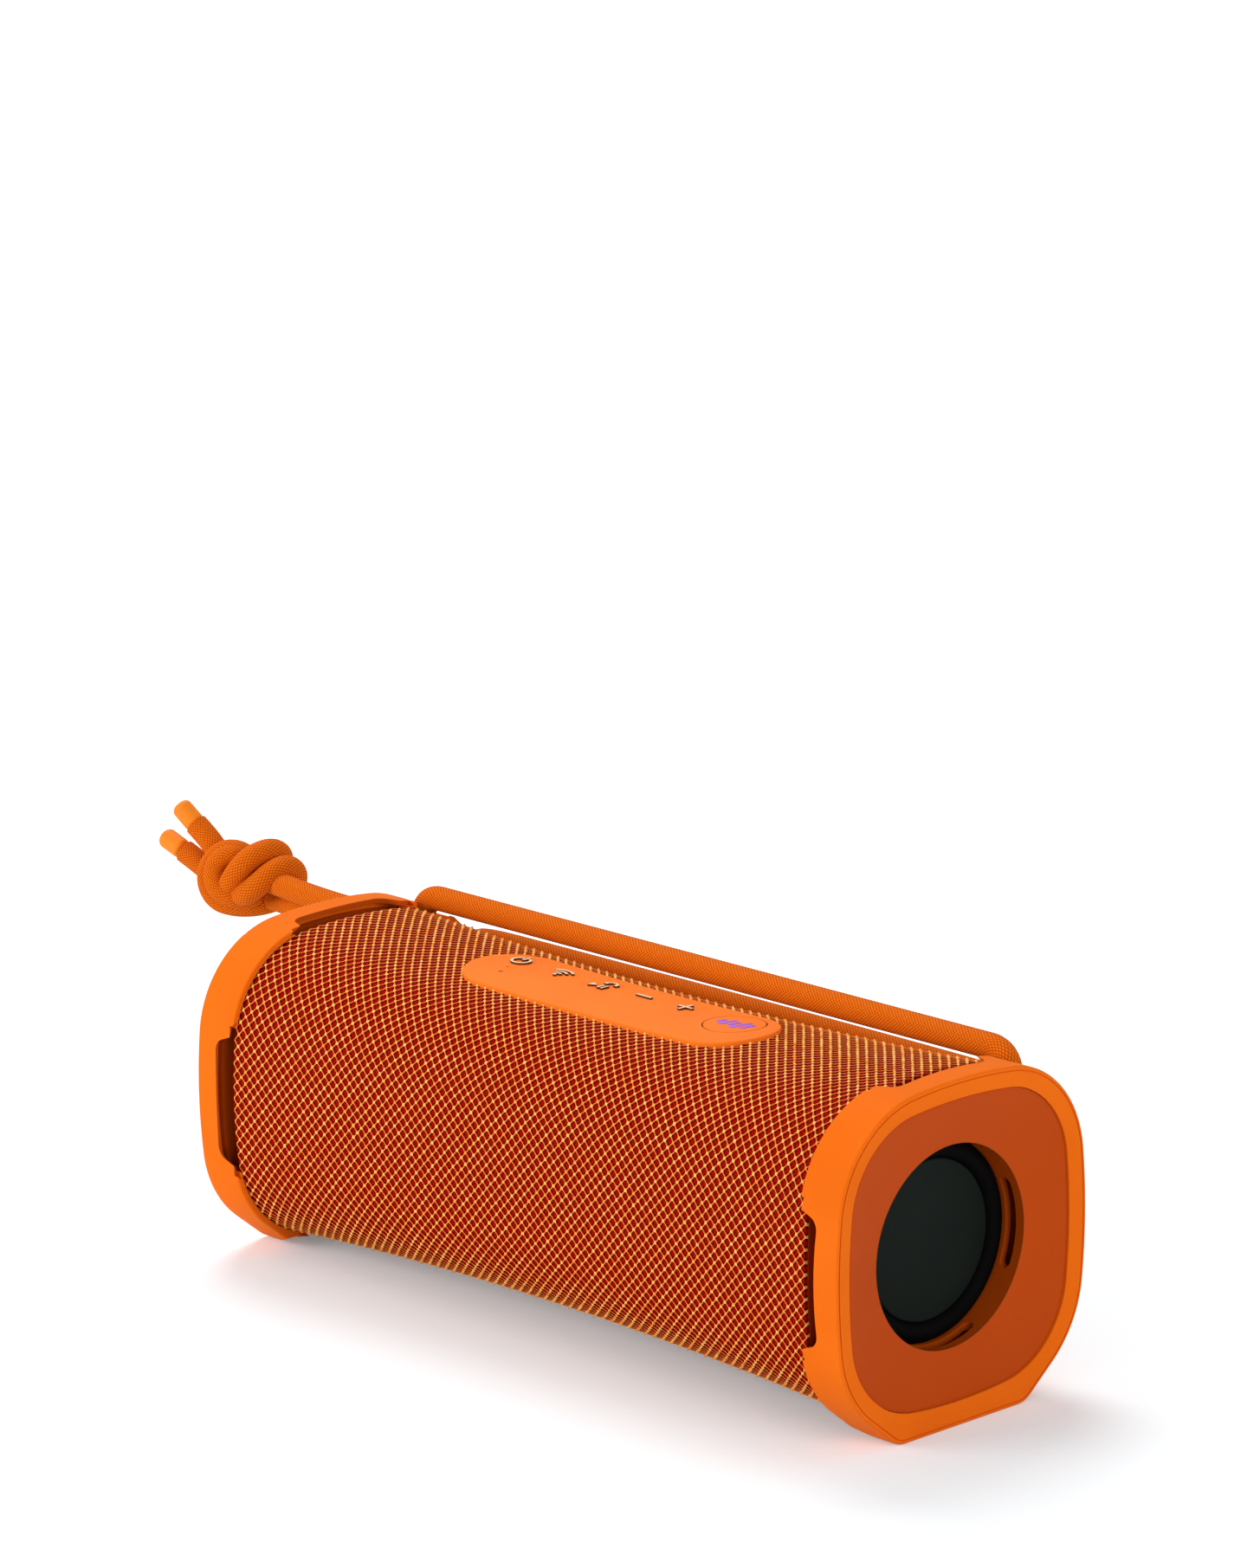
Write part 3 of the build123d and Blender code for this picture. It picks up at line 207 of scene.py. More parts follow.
# ---------------------------------------------------------------- finishes
@dataclass(frozen=True)
class Moulded:
    """A moulded rubber or plastic, with a slow drift of colour and the fine grain of an eroded mould.

    The drift keeps a broad face from looking flat, and the grain softens its highlight. Real grain is about
    0.05 mm, too fine to show, so it is drawn 0.2 to 0.6 mm across.
    """

    name: str
    colour: str
    shade: str
    roughness: float
    grain: float
    relief: float
    drift: float = 22.0
    drift_band: tuple[float, float] = (0.35, 0.65)
    roughness_swing: float = 0.06
    specular: float = 0.5
    coat: float = 0.0
    coat_roughness: float = 0.15
    metallic: float = 0.0
    sheen: float = 0.0
    sheen_roughness: float = 0.4
    bloom: str = "#FFC978"

    def build(self) -> bpy.types.Material:
        """Builds the finish.

        Returns:
            The node material, on Object coordinates.
        """
        material = new_material(self.name)
        place = add_node(material, "ShaderNodeTexCoord")
        drift = add_node(material, "ShaderNodeTexNoise", {"Scale": per(self.drift), "Detail": 3.0},
                         {"Vector": place.outputs["Object"]})
        share = add_node(material, "ShaderNodeMapRange",
                         {"From Min": self.drift_band[0], "From Max": self.drift_band[1]},
                         {"Value": drift.outputs["Fac"]})
        colour = add_node(material, "ShaderNodeMix",
                          {"data_type": "RGBA", "A_Color": self.shade, "B_Color": self.colour},
                          {"Factor_Float": share})
        grain = add_node(material, "ShaderNodeTexNoise", {"Scale": per(self.grain), "Detail": 2.0},
                         {"Vector": place.outputs["Object"]})
        polish = add_node(material, "ShaderNodeMapRange",
                          {"To Min": self.roughness - self.roughness_swing,
                           "To Max": self.roughness + self.roughness_swing},
                          {"Value": grain.outputs["Fac"]})
        bump = add_node(material, "ShaderNodeBump", {"Strength": 1.0, "Distance": self.relief * MM},
                        {"Height": grain.outputs["Fac"]})
        shader = add_node(material, "ShaderNodeBsdfPrincipled",
                          {"Specular IOR Level": self.specular, "Coat Weight": self.coat,
                           "Coat Roughness": self.coat_roughness, "Metallic": self.metallic,
                           "Sheen Weight": self.sheen, "Sheen Roughness": self.sheen_roughness,
                           "Sheen Tint": self.bloom},
                          {"Base Color": colour.outputs[2], "Roughness": polish, "Normal": bump})
        return finish_material(material, shader)


@dataclass(frozen=True)
class SmokedCover:
    """Tinted polycarbonate with a satin face: deep orange where it backs on to solid, brown and glossy in the hole.

    The tint hides the driver's frame, and light that gets into the hole's collar comes back dark. Sizes are in
    millimetres; the satin grain, really about 0.05 mm, is drawn coarser to show.
    """

    name: str = "smoked_polycarbonate"
    face: str = "#B84506"
    face_shade: str = "#B04005"
    collar: str = "#A64208"
    hole_radius: float = 22.75
    hole_blend: float = 0.1
    face_x: float = 98.5
    centre_z: float = 38.7
    drift: float = 28.0
    grain: float = 0.4
    relief: float = 0.004
    satin: float = 0.5
    gloss: float = 0.15
    specular: float = 0.06

    def hole_mask(self, material: bpy.types.Material, place: bpy.types.Node) -> bpy.types.Node:
        """Marks the collar, which lies within the hole's radius or behind the face.

        Args:
            material: The material that the nodes go into.
            place: Its texture coordinates.

        Returns:
            The node whose first output is 1 in the collar and 0 on the face.
        """
        away = add_node(material, "ShaderNodeVectorMath",
                        {"operation": "SUBTRACT", "Vector_001": (0.0, 0.0, self.centre_z * MM)},
                        {"Vector": place.outputs["Object"]})
        across = add_node(material, "ShaderNodeVectorMath", {"operation": "MULTIPLY", "Vector_001": (0.0, 1.0, 1.0)},
                          {"Vector": away})
        distance = add_node(material, "ShaderNodeVectorMath", {"operation": "LENGTH"}, {"Vector": across})
        inside = add_node(material, "ShaderNodeMapRange",
                          {"From Min": (self.hole_radius + self.hole_blend) * MM,
                           "From Max": (self.hole_radius - self.hole_blend) * MM},
                          {"Value": distance.outputs["Value"]})
        parts = add_node(material, "ShaderNodeSeparateXYZ", links={"Vector": place.outputs["Object"]})
        end = add_node(material, "ShaderNodeMath", {"operation": "ABSOLUTE"}, {"Value": parts.outputs["X"]})
        behind = add_node(material, "ShaderNodeMath", {"operation": "LESS_THAN", "Value_001": self.face_x * MM},
                          {"Value": end})
        return add_node(material, "ShaderNodeMath", {"operation": "MAXIMUM"},
                        {"Value": inside, "Value_001": behind})

    def build(self) -> bpy.types.Material:
        """Builds the finish.

        Returns:
            The node material, on Object coordinates.
        """
        material = new_material(self.name)
        place = add_node(material, "ShaderNodeTexCoord")
        in_hole = self.hole_mask(material, place)
        drift = add_node(material, "ShaderNodeTexNoise", {"Scale": per(self.drift), "Detail": 2.0},
                         {"Vector": place.outputs["Object"]})
        face = add_node(material, "ShaderNodeMix",
                        {"data_type": "RGBA", "A_Color": self.face_shade, "B_Color": self.face},
                        {"Factor_Float": drift.outputs["Fac"]})
        colour = add_node(material, "ShaderNodeMix", {"data_type": "RGBA", "B_Color": self.collar},
                          {"Factor_Float": in_hole, "A_Color": face.outputs[2]})
        polish = add_node(material, "ShaderNodeMapRange", {"To Min": self.satin, "To Max": self.gloss},
                          {"Value": in_hole})
        grain = add_node(material, "ShaderNodeTexNoise", {"Scale": per(self.grain), "Detail": 1.0},
                         {"Vector": place.outputs["Object"]})
        bump = add_node(material, "ShaderNodeBump", {"Strength": 1.0, "Distance": self.relief * MM},
                        {"Height": grain.outputs["Fac"]})
        shader = add_node(material, "ShaderNodeBsdfPrincipled", {"Specular IOR Level": self.specular},
                          {"Base Color": colour.outputs[2], "Roughness": polish, "Normal": bump})
        return finish_material(material, shader)


@dataclass(frozen=True)
class BraidedRope:
    """Textured polyester yarn in a tight round braid: short slanting floats all round the cord, with the grooves
    between them painted darker as shade.

    The floats are 0.95 mm apart along the cord and 22 go round it. The yarn's own fibres, really 0.02 mm, are
    drawn 0.45 mm across to show as a fuzz.
    """

    name: str = "braided_polyester"
    yarn: str = "#EE740C"
    # gap is the colour of the grooves between floats, a painted shade
    gap: str = "#B04604"
    pitch: float = 0.95
    yarns_round: int = 22
    level_from: float = 0.12
    fibre: float = 0.45
    fuzz: float = 0.6
    shading: tuple[float, float] = (0.2, 1.3)
    relief: float = 0.07
    roughness: float = 0.8
    specular: float = 0.05
    sheen: float = 0.06
    bloom: str = "#FFB45A"

    def build(self) -> bpy.types.Material:
        """Builds the finish.

        Returns:
            The node material, which follows the piece's UV map of metres along and turns around.
        """
        material = new_material(self.name)
        place = add_node(material, "ShaderNodeUVMap", {"uv_map": "along"})
        parts = add_node(material, "ShaderNodeSeparateXYZ", links={"Vector": place})
        along = add_node(material, "ShaderNodeMath", {"operation": "MULTIPLY", "Value_001": per(self.pitch)},
                         {"Value": parts.outputs["X"]})
        around = add_node(material, "ShaderNodeMath",
                          {"operation": "MULTIPLY", "Value_001": float(self.yarns_round)},
                          {"Value": parts.outputs["Y"]})
        waves = []
        for turn in ("ADD", "SUBTRACT"):
            slant = add_node(material, "ShaderNodeMath", {"operation": turn}, {"Value": along, "Value_001": around})
            waves.append(add_node(material, "ShaderNodeMath", {"operation": "PINGPONG", "Value_001": 0.5},
                                  {"Value": slant}))
        height = add_node(material, "ShaderNodeMath", {"operation": "MULTIPLY"},
                          {"Value": waves[0], "Value_001": waves[1]})
        level = add_node(material, "ShaderNodeMapRange",
                         {"interpolation_type": "SMOOTHSTEP", "From Max": self.level_from}, {"Value": height})
        solid = add_node(material, "ShaderNodeTexCoord")
        fibre = add_node(material, "ShaderNodeTexNoise", {"Scale": per(self.fibre), "Detail": 3.0},
                         {"Vector": solid.outputs["Object"]})
        mixed = add_node(material, "ShaderNodeMath", {"operation": "MULTIPLY_ADD", "Value_001": self.fuzz},
                         {"Value": fibre.outputs["Fac"], "Value_002": level})
        # painted shade: the low grooves between floats take the darker gap colour, and the fibre noise varies the tone
        # at random
        share = add_node(material, "ShaderNodeMapRange",
                         {"From Min": self.shading[0], "From Max": self.shading[1]}, {"Value": mixed})
        colour = add_node(material, "ShaderNodeMix",
                          {"data_type": "RGBA", "A_Color": self.gap, "B_Color": self.yarn},
                          {"Factor_Float": share})
        bump = add_node(material, "ShaderNodeBump", {"Strength": 1.0, "Distance": self.relief * MM},
                        {"Height": mixed})
        shader = add_node(material, "ShaderNodeBsdfPrincipled",
                          {"Roughness": self.roughness, "Sheen Weight": self.sheen, "Sheen Roughness": 0.5,
                           "Sheen Tint": self.bloom, "Specular IOR Level": self.specular},
                          {"Base Color": colour.outputs[2], "Normal": bump})
        return finish_material(material, shader)


@dataclass(frozen=True)
class NetKnit:
    """A two-layer knit: a slanting net of bright yarn, knotted where it crosses, over dark red ground cloth.

    The UV map counts the net's meshes, so its lines run where either coordinate is a half. Sizes of the net are
    shares of one mesh, 1.91 mm across; fibre and the spread of the knots' painted glint are in millimetres. The
    fibres, really 0.02 mm, are drawn 0.8 mm across to show as ragged edges. The knots' pale yellow is a painted
    highlight that noise lays on some knots and not on others, and each eye is painted darker near the yarn as shade
    and paler in its middle as a glint.
    """

    name: str = "net_knit"
    # ground is the eyes' dark red, paler in their middles as a painted glint; rim is their edges by the yarn, painted
    # darker as shade
    ground: str = "#A00C00"
    rim: str = "#640400"
    net: str = "#F07E3A"
    # knot is the knots' pale yellow, a painted highlight; the next colour is the duller knot where noise leaves the
    # highlight out
    knot: str = "#FFBC66"
    knot_without_glint: str = "#F49042"
    line: float = 0.07
    line_edge: tuple[float, float] = (0.045, -0.03)
    bead: float = 0.2
    bead_edge: tuple[float, float] = (0.19, 0.11)
    ragged: float = 0.3
    # how far from a knot the eyes' painted shade gives way to their painted glint
    eye_shade_band: tuple[float, float] = (0.38, 0.6)
    fibre: float = 0.8
    # the size of the noise that picks which knots get the painted highlight, and its band
    glint_spread: float = 2.6
    glint_band: tuple[float, float] = (0.36, 0.58)
    fuzz: float = 0.4
    relief: float = 0.14
    roughness: float = 0.6
    specular: float = 0.01

    def build(self) -> bpy.types.Material:
        """Builds the finish.

        Returns:
            The node material, on the piece's UV map.
        """
        material = new_material(self.name)
        place = add_node(material, "ShaderNodeUVMap", {"uv_map": "meshes"})
        parts = add_node(material, "ShaderNodeSeparateXYZ", links={"Vector": place})
        near = []
        for axis in ("X", "Y"):
            # 0.5 in the middle of an eye of the net, 0 on a line of it
            reach = add_node(material, "ShaderNodeMath", {"operation": "PINGPONG", "Value_001": 0.5},
                             {"Value": parts.outputs[axis]})
            near.append(add_node(material, "ShaderNodeMath", {"operation": "SUBTRACT", "Value": 0.5},
                                 {"Value_001": reach}))
        closest = add_node(material, "ShaderNodeMath", {"operation": "MINIMUM"},
                           {"Value": near[0], "Value_001": near[1]})
        corner = add_node(material, "ShaderNodeCombineXYZ", links={"X": near[0], "Y": near[1]})
        to_knot = add_node(material, "ShaderNodeVectorMath", {"operation": "LENGTH"}, {"Vector": corner})
        solid = add_node(material, "ShaderNodeTexCoord")
        fibre = add_node(material, "ShaderNodeTexNoise", {"Scale": per(self.fibre), "Detail": 2.0},
                         {"Vector": solid.outputs["Object"]})
        ragged = add_node(material, "ShaderNodeMath", {"operation": "MULTIPLY_ADD", "Value_001": self.ragged},
                          {"Value": fibre.outputs["Fac"], "Value_002": to_knot.outputs["Value"]})
        masks = []
        for size, (outer, inner), source in ((self.bead, self.bead_edge, ragged), (self.line, self.line_edge, closest)):
            masks.append(add_node(material, "ShaderNodeMapRange",
                                  {"interpolation_type": "SMOOTHSTEP", "From Min": size + outer,
                                   "From Max": size + inner}, {"Value": source}))
        is_knot, is_line = masks
        is_yarn = add_node(material, "ShaderNodeMath", {"operation": "MAXIMUM"},
                           {"Value": is_knot, "Value_001": is_line})
        # painted shade and glint: each eye darkens towards the yarn round it and is paler in its middle
        inner = add_node(material, "ShaderNodeMapRange",
                         {"interpolation_type": "SMOOTHSTEP", "From Min": self.eye_shade_band[0],
                          "From Max": self.eye_shade_band[1]}, {"Value": to_knot.outputs["Value"]})
        ground = add_node(material, "ShaderNodeMix",
                          {"data_type": "RGBA", "A_Color": self.rim, "B_Color": self.ground},
                          {"Factor_Float": inner})
        # painted highlight: noise paints some knots pale yellow, as if they caught the light, and leaves the next ones
        # dull
        glint_spread = add_node(material, "ShaderNodeTexNoise", {"Scale": per(self.glint_spread), "Detail": 1.0},
                         {"Vector": solid.outputs["Object"]})
        bright = add_node(material, "ShaderNodeMapRange",
                          {"From Min": self.glint_band[0], "From Max": self.glint_band[1]},
                          {"Value": glint_spread.outputs["Fac"]})
        knot = add_node(material, "ShaderNodeMix",
                        {"data_type": "RGBA", "A_Color": self.knot_without_glint, "B_Color": self.knot},
                        {"Factor_Float": bright})
        net = add_node(material, "ShaderNodeMix", {"data_type": "RGBA", "A_Color": self.net},
                       {"Factor_Float": is_knot, "B_Color": knot.outputs[2]})
        colour = add_node(material, "ShaderNodeMix", {"data_type": "RGBA"},
                          {"Factor_Float": is_yarn, "A_Color": ground.outputs[2], "B_Color": net.outputs[2]})
        height = add_node(material, "ShaderNodeMath", {"operation": "MULTIPLY_ADD", "Value_001": self.fuzz},
                          {"Value": fibre.outputs["Fac"], "Value_002": is_yarn})
        bump = add_node(material, "ShaderNodeBump", {"Strength": 1.0, "Distance": self.relief * MM},
                        {"Height": height})
        shader = add_node(material, "ShaderNodeBsdfPrincipled",
                          {"Roughness": self.roughness, "Specular IOR Level": self.specular},
                          {"Base Color": colour.outputs[2], "Normal": bump})
        return finish_material(material, shader)


@dataclass(frozen=True)
class RaisedMark:
    """A mark moulded proud of the silicone: a pale face painted as highlight on sides painted dark as shade, so it
    reads as a relief.
    """

    name: str = "relief_painted_glint_and_shade"
    # face and face_shade are the pale tops, a painted highlight flecked by noise; side is the painted shade on the
    # steep sides
    face: str = "#F4CFA4"
    face_shade: str = "#E9BC8C"
    side: str = "#5A2408"
    side_shade_band: tuple[float, float] = (0.55, 0.85)
    speck: float = 0.5
    roughness: float = 0.4
    specular: float = 0.2

    def build(self) -> bpy.types.Material:
        """Builds the finish.

        Returns:
            The node material, which paints level faces pale as highlight and steep sides dark as shade.
        """
        material = new_material(self.name)
        place = add_node(material, "ShaderNodeTexCoord")
        parts = add_node(material, "ShaderNodeSeparateXYZ", links={"Vector": place.outputs["Normal"]})
        # painted shade on steep sides and painted highlight on level tops, told apart by the surface normal
        level = add_node(material, "ShaderNodeMapRange",
                         {"From Min": self.side_shade_band[0], "From Max": self.side_shade_band[1]},
                         {"Value": parts.outputs["Z"]})
        speck = add_node(material, "ShaderNodeTexNoise", {"Scale": per(self.speck), "Detail": 2.0},
                         {"Vector": place.outputs["Object"]})
        # the pale top colour, a painted highlight flecked by noise
        printed = add_node(material, "ShaderNodeMix",
                           {"data_type": "RGBA", "A_Color": self.face_shade, "B_Color": self.face},
                           {"Factor_Float": speck.outputs["Fac"]})
        colour = add_node(material, "ShaderNodeMix", {"data_type": "RGBA", "A_Color": self.side},
                          {"Factor_Float": level, "B_Color": printed.outputs[2]})
        shader = add_node(material, "ShaderNodeBsdfPrincipled",
                          {"Roughness": self.roughness, "Specular IOR Level": self.specular},
                          {"Base Color": colour.outputs[2]})
        return finish_material(material, shader)


@dataclass(frozen=True)
class SolderMask:
    """A printed circuit board: green lacquer over copper tracks, with tinned pads where the copper is bare."""

    name: str = "solder_mask"
    lacquer: str = "#0C4A22"
    track: str = "#166B33"
    pad: str = "#B9A36A"
    spacing: float = 2.6
    track_edge: tuple[float, float] = (0.09, 0.06)
    pad_spacing: float = 4.42
    pad_edge: tuple[float, float] = (0.16, 0.14)
    relief: float = 0.03
    roughness: float = 0.35
    specular: float = 0.5

    def build(self) -> bpy.types.Material:
        """Builds the finish.

        Returns:
            The node material, with its tracks on Object coordinates.
        """
        material = new_material(self.name)
        place = add_node(material, "ShaderNodeTexCoord")
        tracks = add_node(material, "ShaderNodeTexVoronoi",
                          {"feature": "DISTANCE_TO_EDGE", "distance": "EUCLIDEAN", "Scale": per(self.spacing)},
                          {"Vector": place.outputs["Object"]})
        is_track = add_node(material, "ShaderNodeMapRange",
                            {"From Min": self.track_edge[0], "From Max": self.track_edge[1]},
                            {"Value": tracks.outputs["Distance"]})
        pads = add_node(material, "ShaderNodeTexVoronoi", {"Scale": per(self.pad_spacing)},
                        {"Vector": place.outputs["Object"]})
        is_pad = add_node(material, "ShaderNodeMapRange",
                          {"From Min": self.pad_edge[0], "From Max": self.pad_edge[1]},
                          {"Value": pads.outputs["Distance"]})
        green = add_node(material, "ShaderNodeMix",
                         {"data_type": "RGBA", "A_Color": self.lacquer, "B_Color": self.track},
                         {"Factor_Float": is_track})
        colour = add_node(material, "ShaderNodeMix", {"data_type": "RGBA", "B_Color": self.pad},
                          {"Factor_Float": is_pad, "A_Color": green.outputs[2]})
        bump = add_node(material, "ShaderNodeBump", {"Strength": 1.0, "Distance": self.relief * MM},
                        {"Height": is_track})
        shader = add_node(material, "ShaderNodeBsdfPrincipled",
                          {"Roughness": self.roughness, "Specular IOR Level": self.specular},
                          {"Base Color": colour.outputs[2], "Metallic": is_pad, "Normal": bump})
        return finish_material(material, shader)


class Finish(Enum):
    """The object's finishes. Each is built once and shared by every piece that has it."""

    # soft-touch rubber: saturated and almost without gloss, with a faint warm bloom where it turns away
    CAP_RUBBER = Moulded("soft_touch_rubber", "#E96B13", "#E36610", 0.65, 0.4, 0.006, specular=0.02, sheen=0.1)
    # liquid silicone off a fine eroded mould: one even matt field, a little paler than the caps
    PANEL_SILICONE = Moulded("panel_silicone", "#F57A22", "#F1741D", 0.6, 0.3, 0.006, specular=0.05)
    # butyl rubber: the darkest thing on the object, so the roll round a disc reads as a shadow
    BLACK_RUBBER = Moulded("black_rubber", "#060505", "#040303", 0.7, 0.4, 0.02, specular=0.03)
    # polycarbonate mouldings that only show deep inside notches and windows, where they glow brown
    BROWN_PLASTIC = Moulded("brown_polycarbonate", "#A03608", "#922F06", 0.5, 0.4, 0.01, specular=0.08)
    # filled polypropylene: dull black with a slight sparkle from its grain
    BLACK_PLASTIC = Moulded("black_polypropylene", "#1B1A19", "#141312", 0.5, 0.4, 0.015, specular=0.15)
    # the radiators' flat discs: black with a cold green cast and a satin face
    DISC_PLASTIC = Moulded("radiator_disc_plastic", "#0F1511", "#0B110D", 0.55, 0.4, 0.006, specular=0.06)
    # turned and stamped steel under bright zinc: the only bare metal, pale and crisp
    ZINC_STEEL = Moulded("zinc_plated_steel", "#B8B9BA", "#9FA1A3", 0.32, 0.2, 0.005, metallic=1.0)
    # felted pulp: charcoal, fibrous and quite matt
    PAPER_PULP = Moulded("pressed_paper_pulp", "#2A2522", "#1D1917", 0.8, 0.5, 0.04, specular=0.1)
    # heat-shrunk film round the cells: blue, glossy, and tight enough to look lacquered
    SHRINK_WRAP = Moulded("pvc_shrink_wrap", "#2C5FA8", "#27559A", 0.28, 0.6, 0.01, coat=0.3)
    # a frosted light guide, unlit: a dull brown dot
    LIGHT_LENS = Moulded("frosted_light_lens", "#A34A12", "#8E3D0C", 0.35, 0.3, 0.004, specular=0.4)
    # moulded epoxy: near black with a soft highlight
    CHIP_EPOXY = Moulded("epoxy_chip_package", "#1E1E20", "#151517", 0.4, 0.3, 0.01, specular=0.3)
    # polyolefin tube shrunk on to the rope's tails: smoother and paler than the rope
    TIP_SLEEVE = Moulded("heat_shrink_sleeve", "#F0841C", "#E47A16", 0.5, 0.5, 0.01, specular=0.12)
    # screen-printed ink, a little raised: the one cool colour on the object
    VIOLET_INK = Moulded("violet_ink", "#7B3FE4", "#6A34D6", 0.35, 0.3, 0.01, specular=0.3)
    # silicone relief: cream signs, their tops painted pale as highlight, that stand off the orange by a thin side
    # painted dark as shade
    MARK_PAINTED_RELIEF = RaisedMark()
    # smoked polycarbonate: a darker, dished plate with a glossy brown throat
    SMOKED_COVER = SmokedCover()
    # braided polyester: a dry, fine-toothed cord without a highlight, with painted shade between its floats
    ROPE = BraidedRope()
    # net knit: bright knots over dark red, which blend to a rusty orange from afar; the knots' yellow is a painted
    # highlight and the eyes' dark edges are painted shade
    KNIT = NetKnit()
    # lacquered board: dark green with paler tracks
    BOARD = SolderMask()

    @property
    def material(self) -> bpy.types.Material:
        """Returns the node material, which is built when it is first asked for."""
        return bpy.data.materials.get(self.value.name) or self.value.build()


# ---------------------------------------------------------------- studio
@dataclass(frozen=True)
class Lamp:
    """A round soft lamp: its place and width in metres and its power in watts."""

    name: str
    place: tuple[float, float, float]
    width: float
    power: float


@dataclass(frozen=True)
class Studio:
    """The camera, the pale floor and the soft light. The camera's places are in millimetres, the rest in metres."""

    azimuth: float = 46.7
    elevation: float = 17.21
    roll: float = -0.75
    distance: float = 1397.6
    look_at: tuple[float, float, float] = (0.0, 0.0, 38.5)
    lens: float = 144.86
    sensor: float = 36.0
    shift: tuple[float, float] = (-0.0025, 0.2341)
    clip: tuple[float, float] = (0.05, 50.0)
    floor_radius: float = 8.0
    floor_colour: str = "#ECF2F5"
    floor_fade: tuple[float, float] = (0.35, 1.6)
    floor_glow: tuple[float, float] = (0.2, 0.75)
    surround: tuple[float, float] = (0.45, 1.0)
    aim: tuple[float, float, float] = (0.0, 0.0, 0.04)
    lamps: tuple[Lamp, ...] = (
        Lamp("front", (-0.6, -1.25, 0.45), 0.9, 13.0),
        Lamp("side", (1.3, -0.3, 0.5), 0.9, 8.0),
        Lamp("top", (-0.75, 0.5, 1.35), 1.0, 13.5),
    )

    def make_camera(self) -> None:
        """Places the camera on a sphere round the middle of the body."""
        turn, rise, roll = (math.radians(a) for a in (self.azimuth, self.elevation, self.roll))
        back = Vector((math.sin(turn) * math.cos(rise), -math.cos(turn) * math.cos(rise), math.sin(rise)))
        right = Vector((math.cos(turn), math.sin(turn), 0.0))
        up = back.cross(right)
        across = right * math.cos(roll) + up * math.sin(roll)
        upright = up * math.cos(roll) - right * math.sin(roll)
        data = bpy.data.cameras.new("camera")
        data.lens, data.sensor_width = self.lens, self.sensor
        data.shift_x, data.shift_y = self.shift
        data.clip_start, data.clip_end = self.clip
        camera = bpy.data.objects.new("camera", data)
        axes = Matrix((across, upright, back)).transposed().to_4x4()
        axes.translation = (Vector(self.look_at) + back * self.distance) * MM
        camera.matrix_world = axes
        bpy.context.scene.collection.objects.link(camera)
        bpy.context.scene.camera = camera

    def seen_directly(self, owner: bpy.types.ID, rays: bpy.types.Node) -> bpy.types.Node:
        """Marks the rays that show a surface to the eye, straight or in a reflection.

        Args:
            owner: The material or world that the node goes into.
            rays: Its light path.

        Returns:
            The node whose output is 1 for such a ray.
        """
        return add_node(owner, "ShaderNodeMath", {"operation": "MAXIMUM"},
                        {"Value": rays.outputs["Is Camera Ray"], "Value_001": rays.outputs["Is Glossy Ray"]})

    def make_floor(self) -> None:
        """Lays a wide matt floor that keeps the shadow."""
        bm = bmesh.new()
        bmesh.ops.create_circle(bm, cap_ends=True, segments=96, radius=self.floor_radius)
        mesh = bpy.data.meshes.new("floor")
        bm.to_mesh(mesh)
        bm.free()
        material = new_material("matt_white_sweep")
        seen = self.seen_directly(material, add_node(material, "ShaderNodeLightPath"))
        place = add_node(material, "ShaderNodeTexCoord")
        distance = add_node(material, "ShaderNodeVectorMath", {"operation": "LENGTH"},
                            {"Vector": place.outputs["Object"]})
        # the lamps don't reach the far floor, so it glows like the surround instead
        far = add_node(material, "ShaderNodeMapRange",
                       {"interpolation_type": "SMOOTHSTEP", "From Min": self.floor_fade[0],
                        "From Max": self.floor_fade[1], "To Min": self.floor_glow[0],
                        "To Max": self.floor_glow[1]}, {"Value": distance.outputs["Value"]})
        glow = add_node(material, "ShaderNodeMath", {"operation": "MULTIPLY"}, {"Value": seen, "Value_001": far})
        lift = add_node(material, "ShaderNodeEmission", {"Color": "#FFFFFF"}, {"Strength": glow})
        matt = add_node(material, "ShaderNodeBsdfDiffuse", {"Color": self.floor_colour})
        both = add_node(material, "ShaderNodeAddShader", links={"Shader": matt, "Shader_001": lift})
        mesh.materials.append(finish_material(material, both))
        floor = bpy.data.objects.new("floor", mesh)
        bpy.context.scene.collection.objects.link(floor)

    def make_light(self) -> None:
        """Sets an even pale surround and three large soft lamps."""
        world = bpy.data.worlds.new("surround")
        bpy.context.scene.world = world
        world.use_nodes = True
        world.node_tree.nodes.clear()
        rays = add_node(world, "ShaderNodeLightPath")
        plain = self.seen_directly(world, rays)
        seen = add_node(world, "ShaderNodeMath", {"operation": "MAXIMUM"},
                        {"Value": plain, "Value_001": rays.outputs["Is Transmission Ray"]})
        strength = add_node(world, "ShaderNodeMapRange", {"To Min": self.surround[0], "To Max": self.surround[1]},
                            {"Value": seen})
        sky = add_node(world, "ShaderNodeBackground", {"Color": "#FFFFFF"}, {"Strength": strength})
        add_node(world, "ShaderNodeOutputWorld", links={"Surface": sky})
        for lamp in self.lamps:
            data = bpy.data.lights.new(lamp.name, "AREA")
            data.shape, data.size, data.energy = "DISK", lamp.width, lamp.power
            light = bpy.data.objects.new(lamp.name, data)
            light.location = lamp.place
            light.rotation_euler = (Vector(self.aim) - light.location).to_track_quat("-Z", "Y").to_euler()
            bpy.context.scene.collection.objects.link(light)

    def build(self) -> None:
        """Makes all of it, and keeps colours as they are written."""
        self.make_camera()
        self.make_floor()
        self.make_light()
        bpy.context.scene.view_settings.view_transform = "Standard"


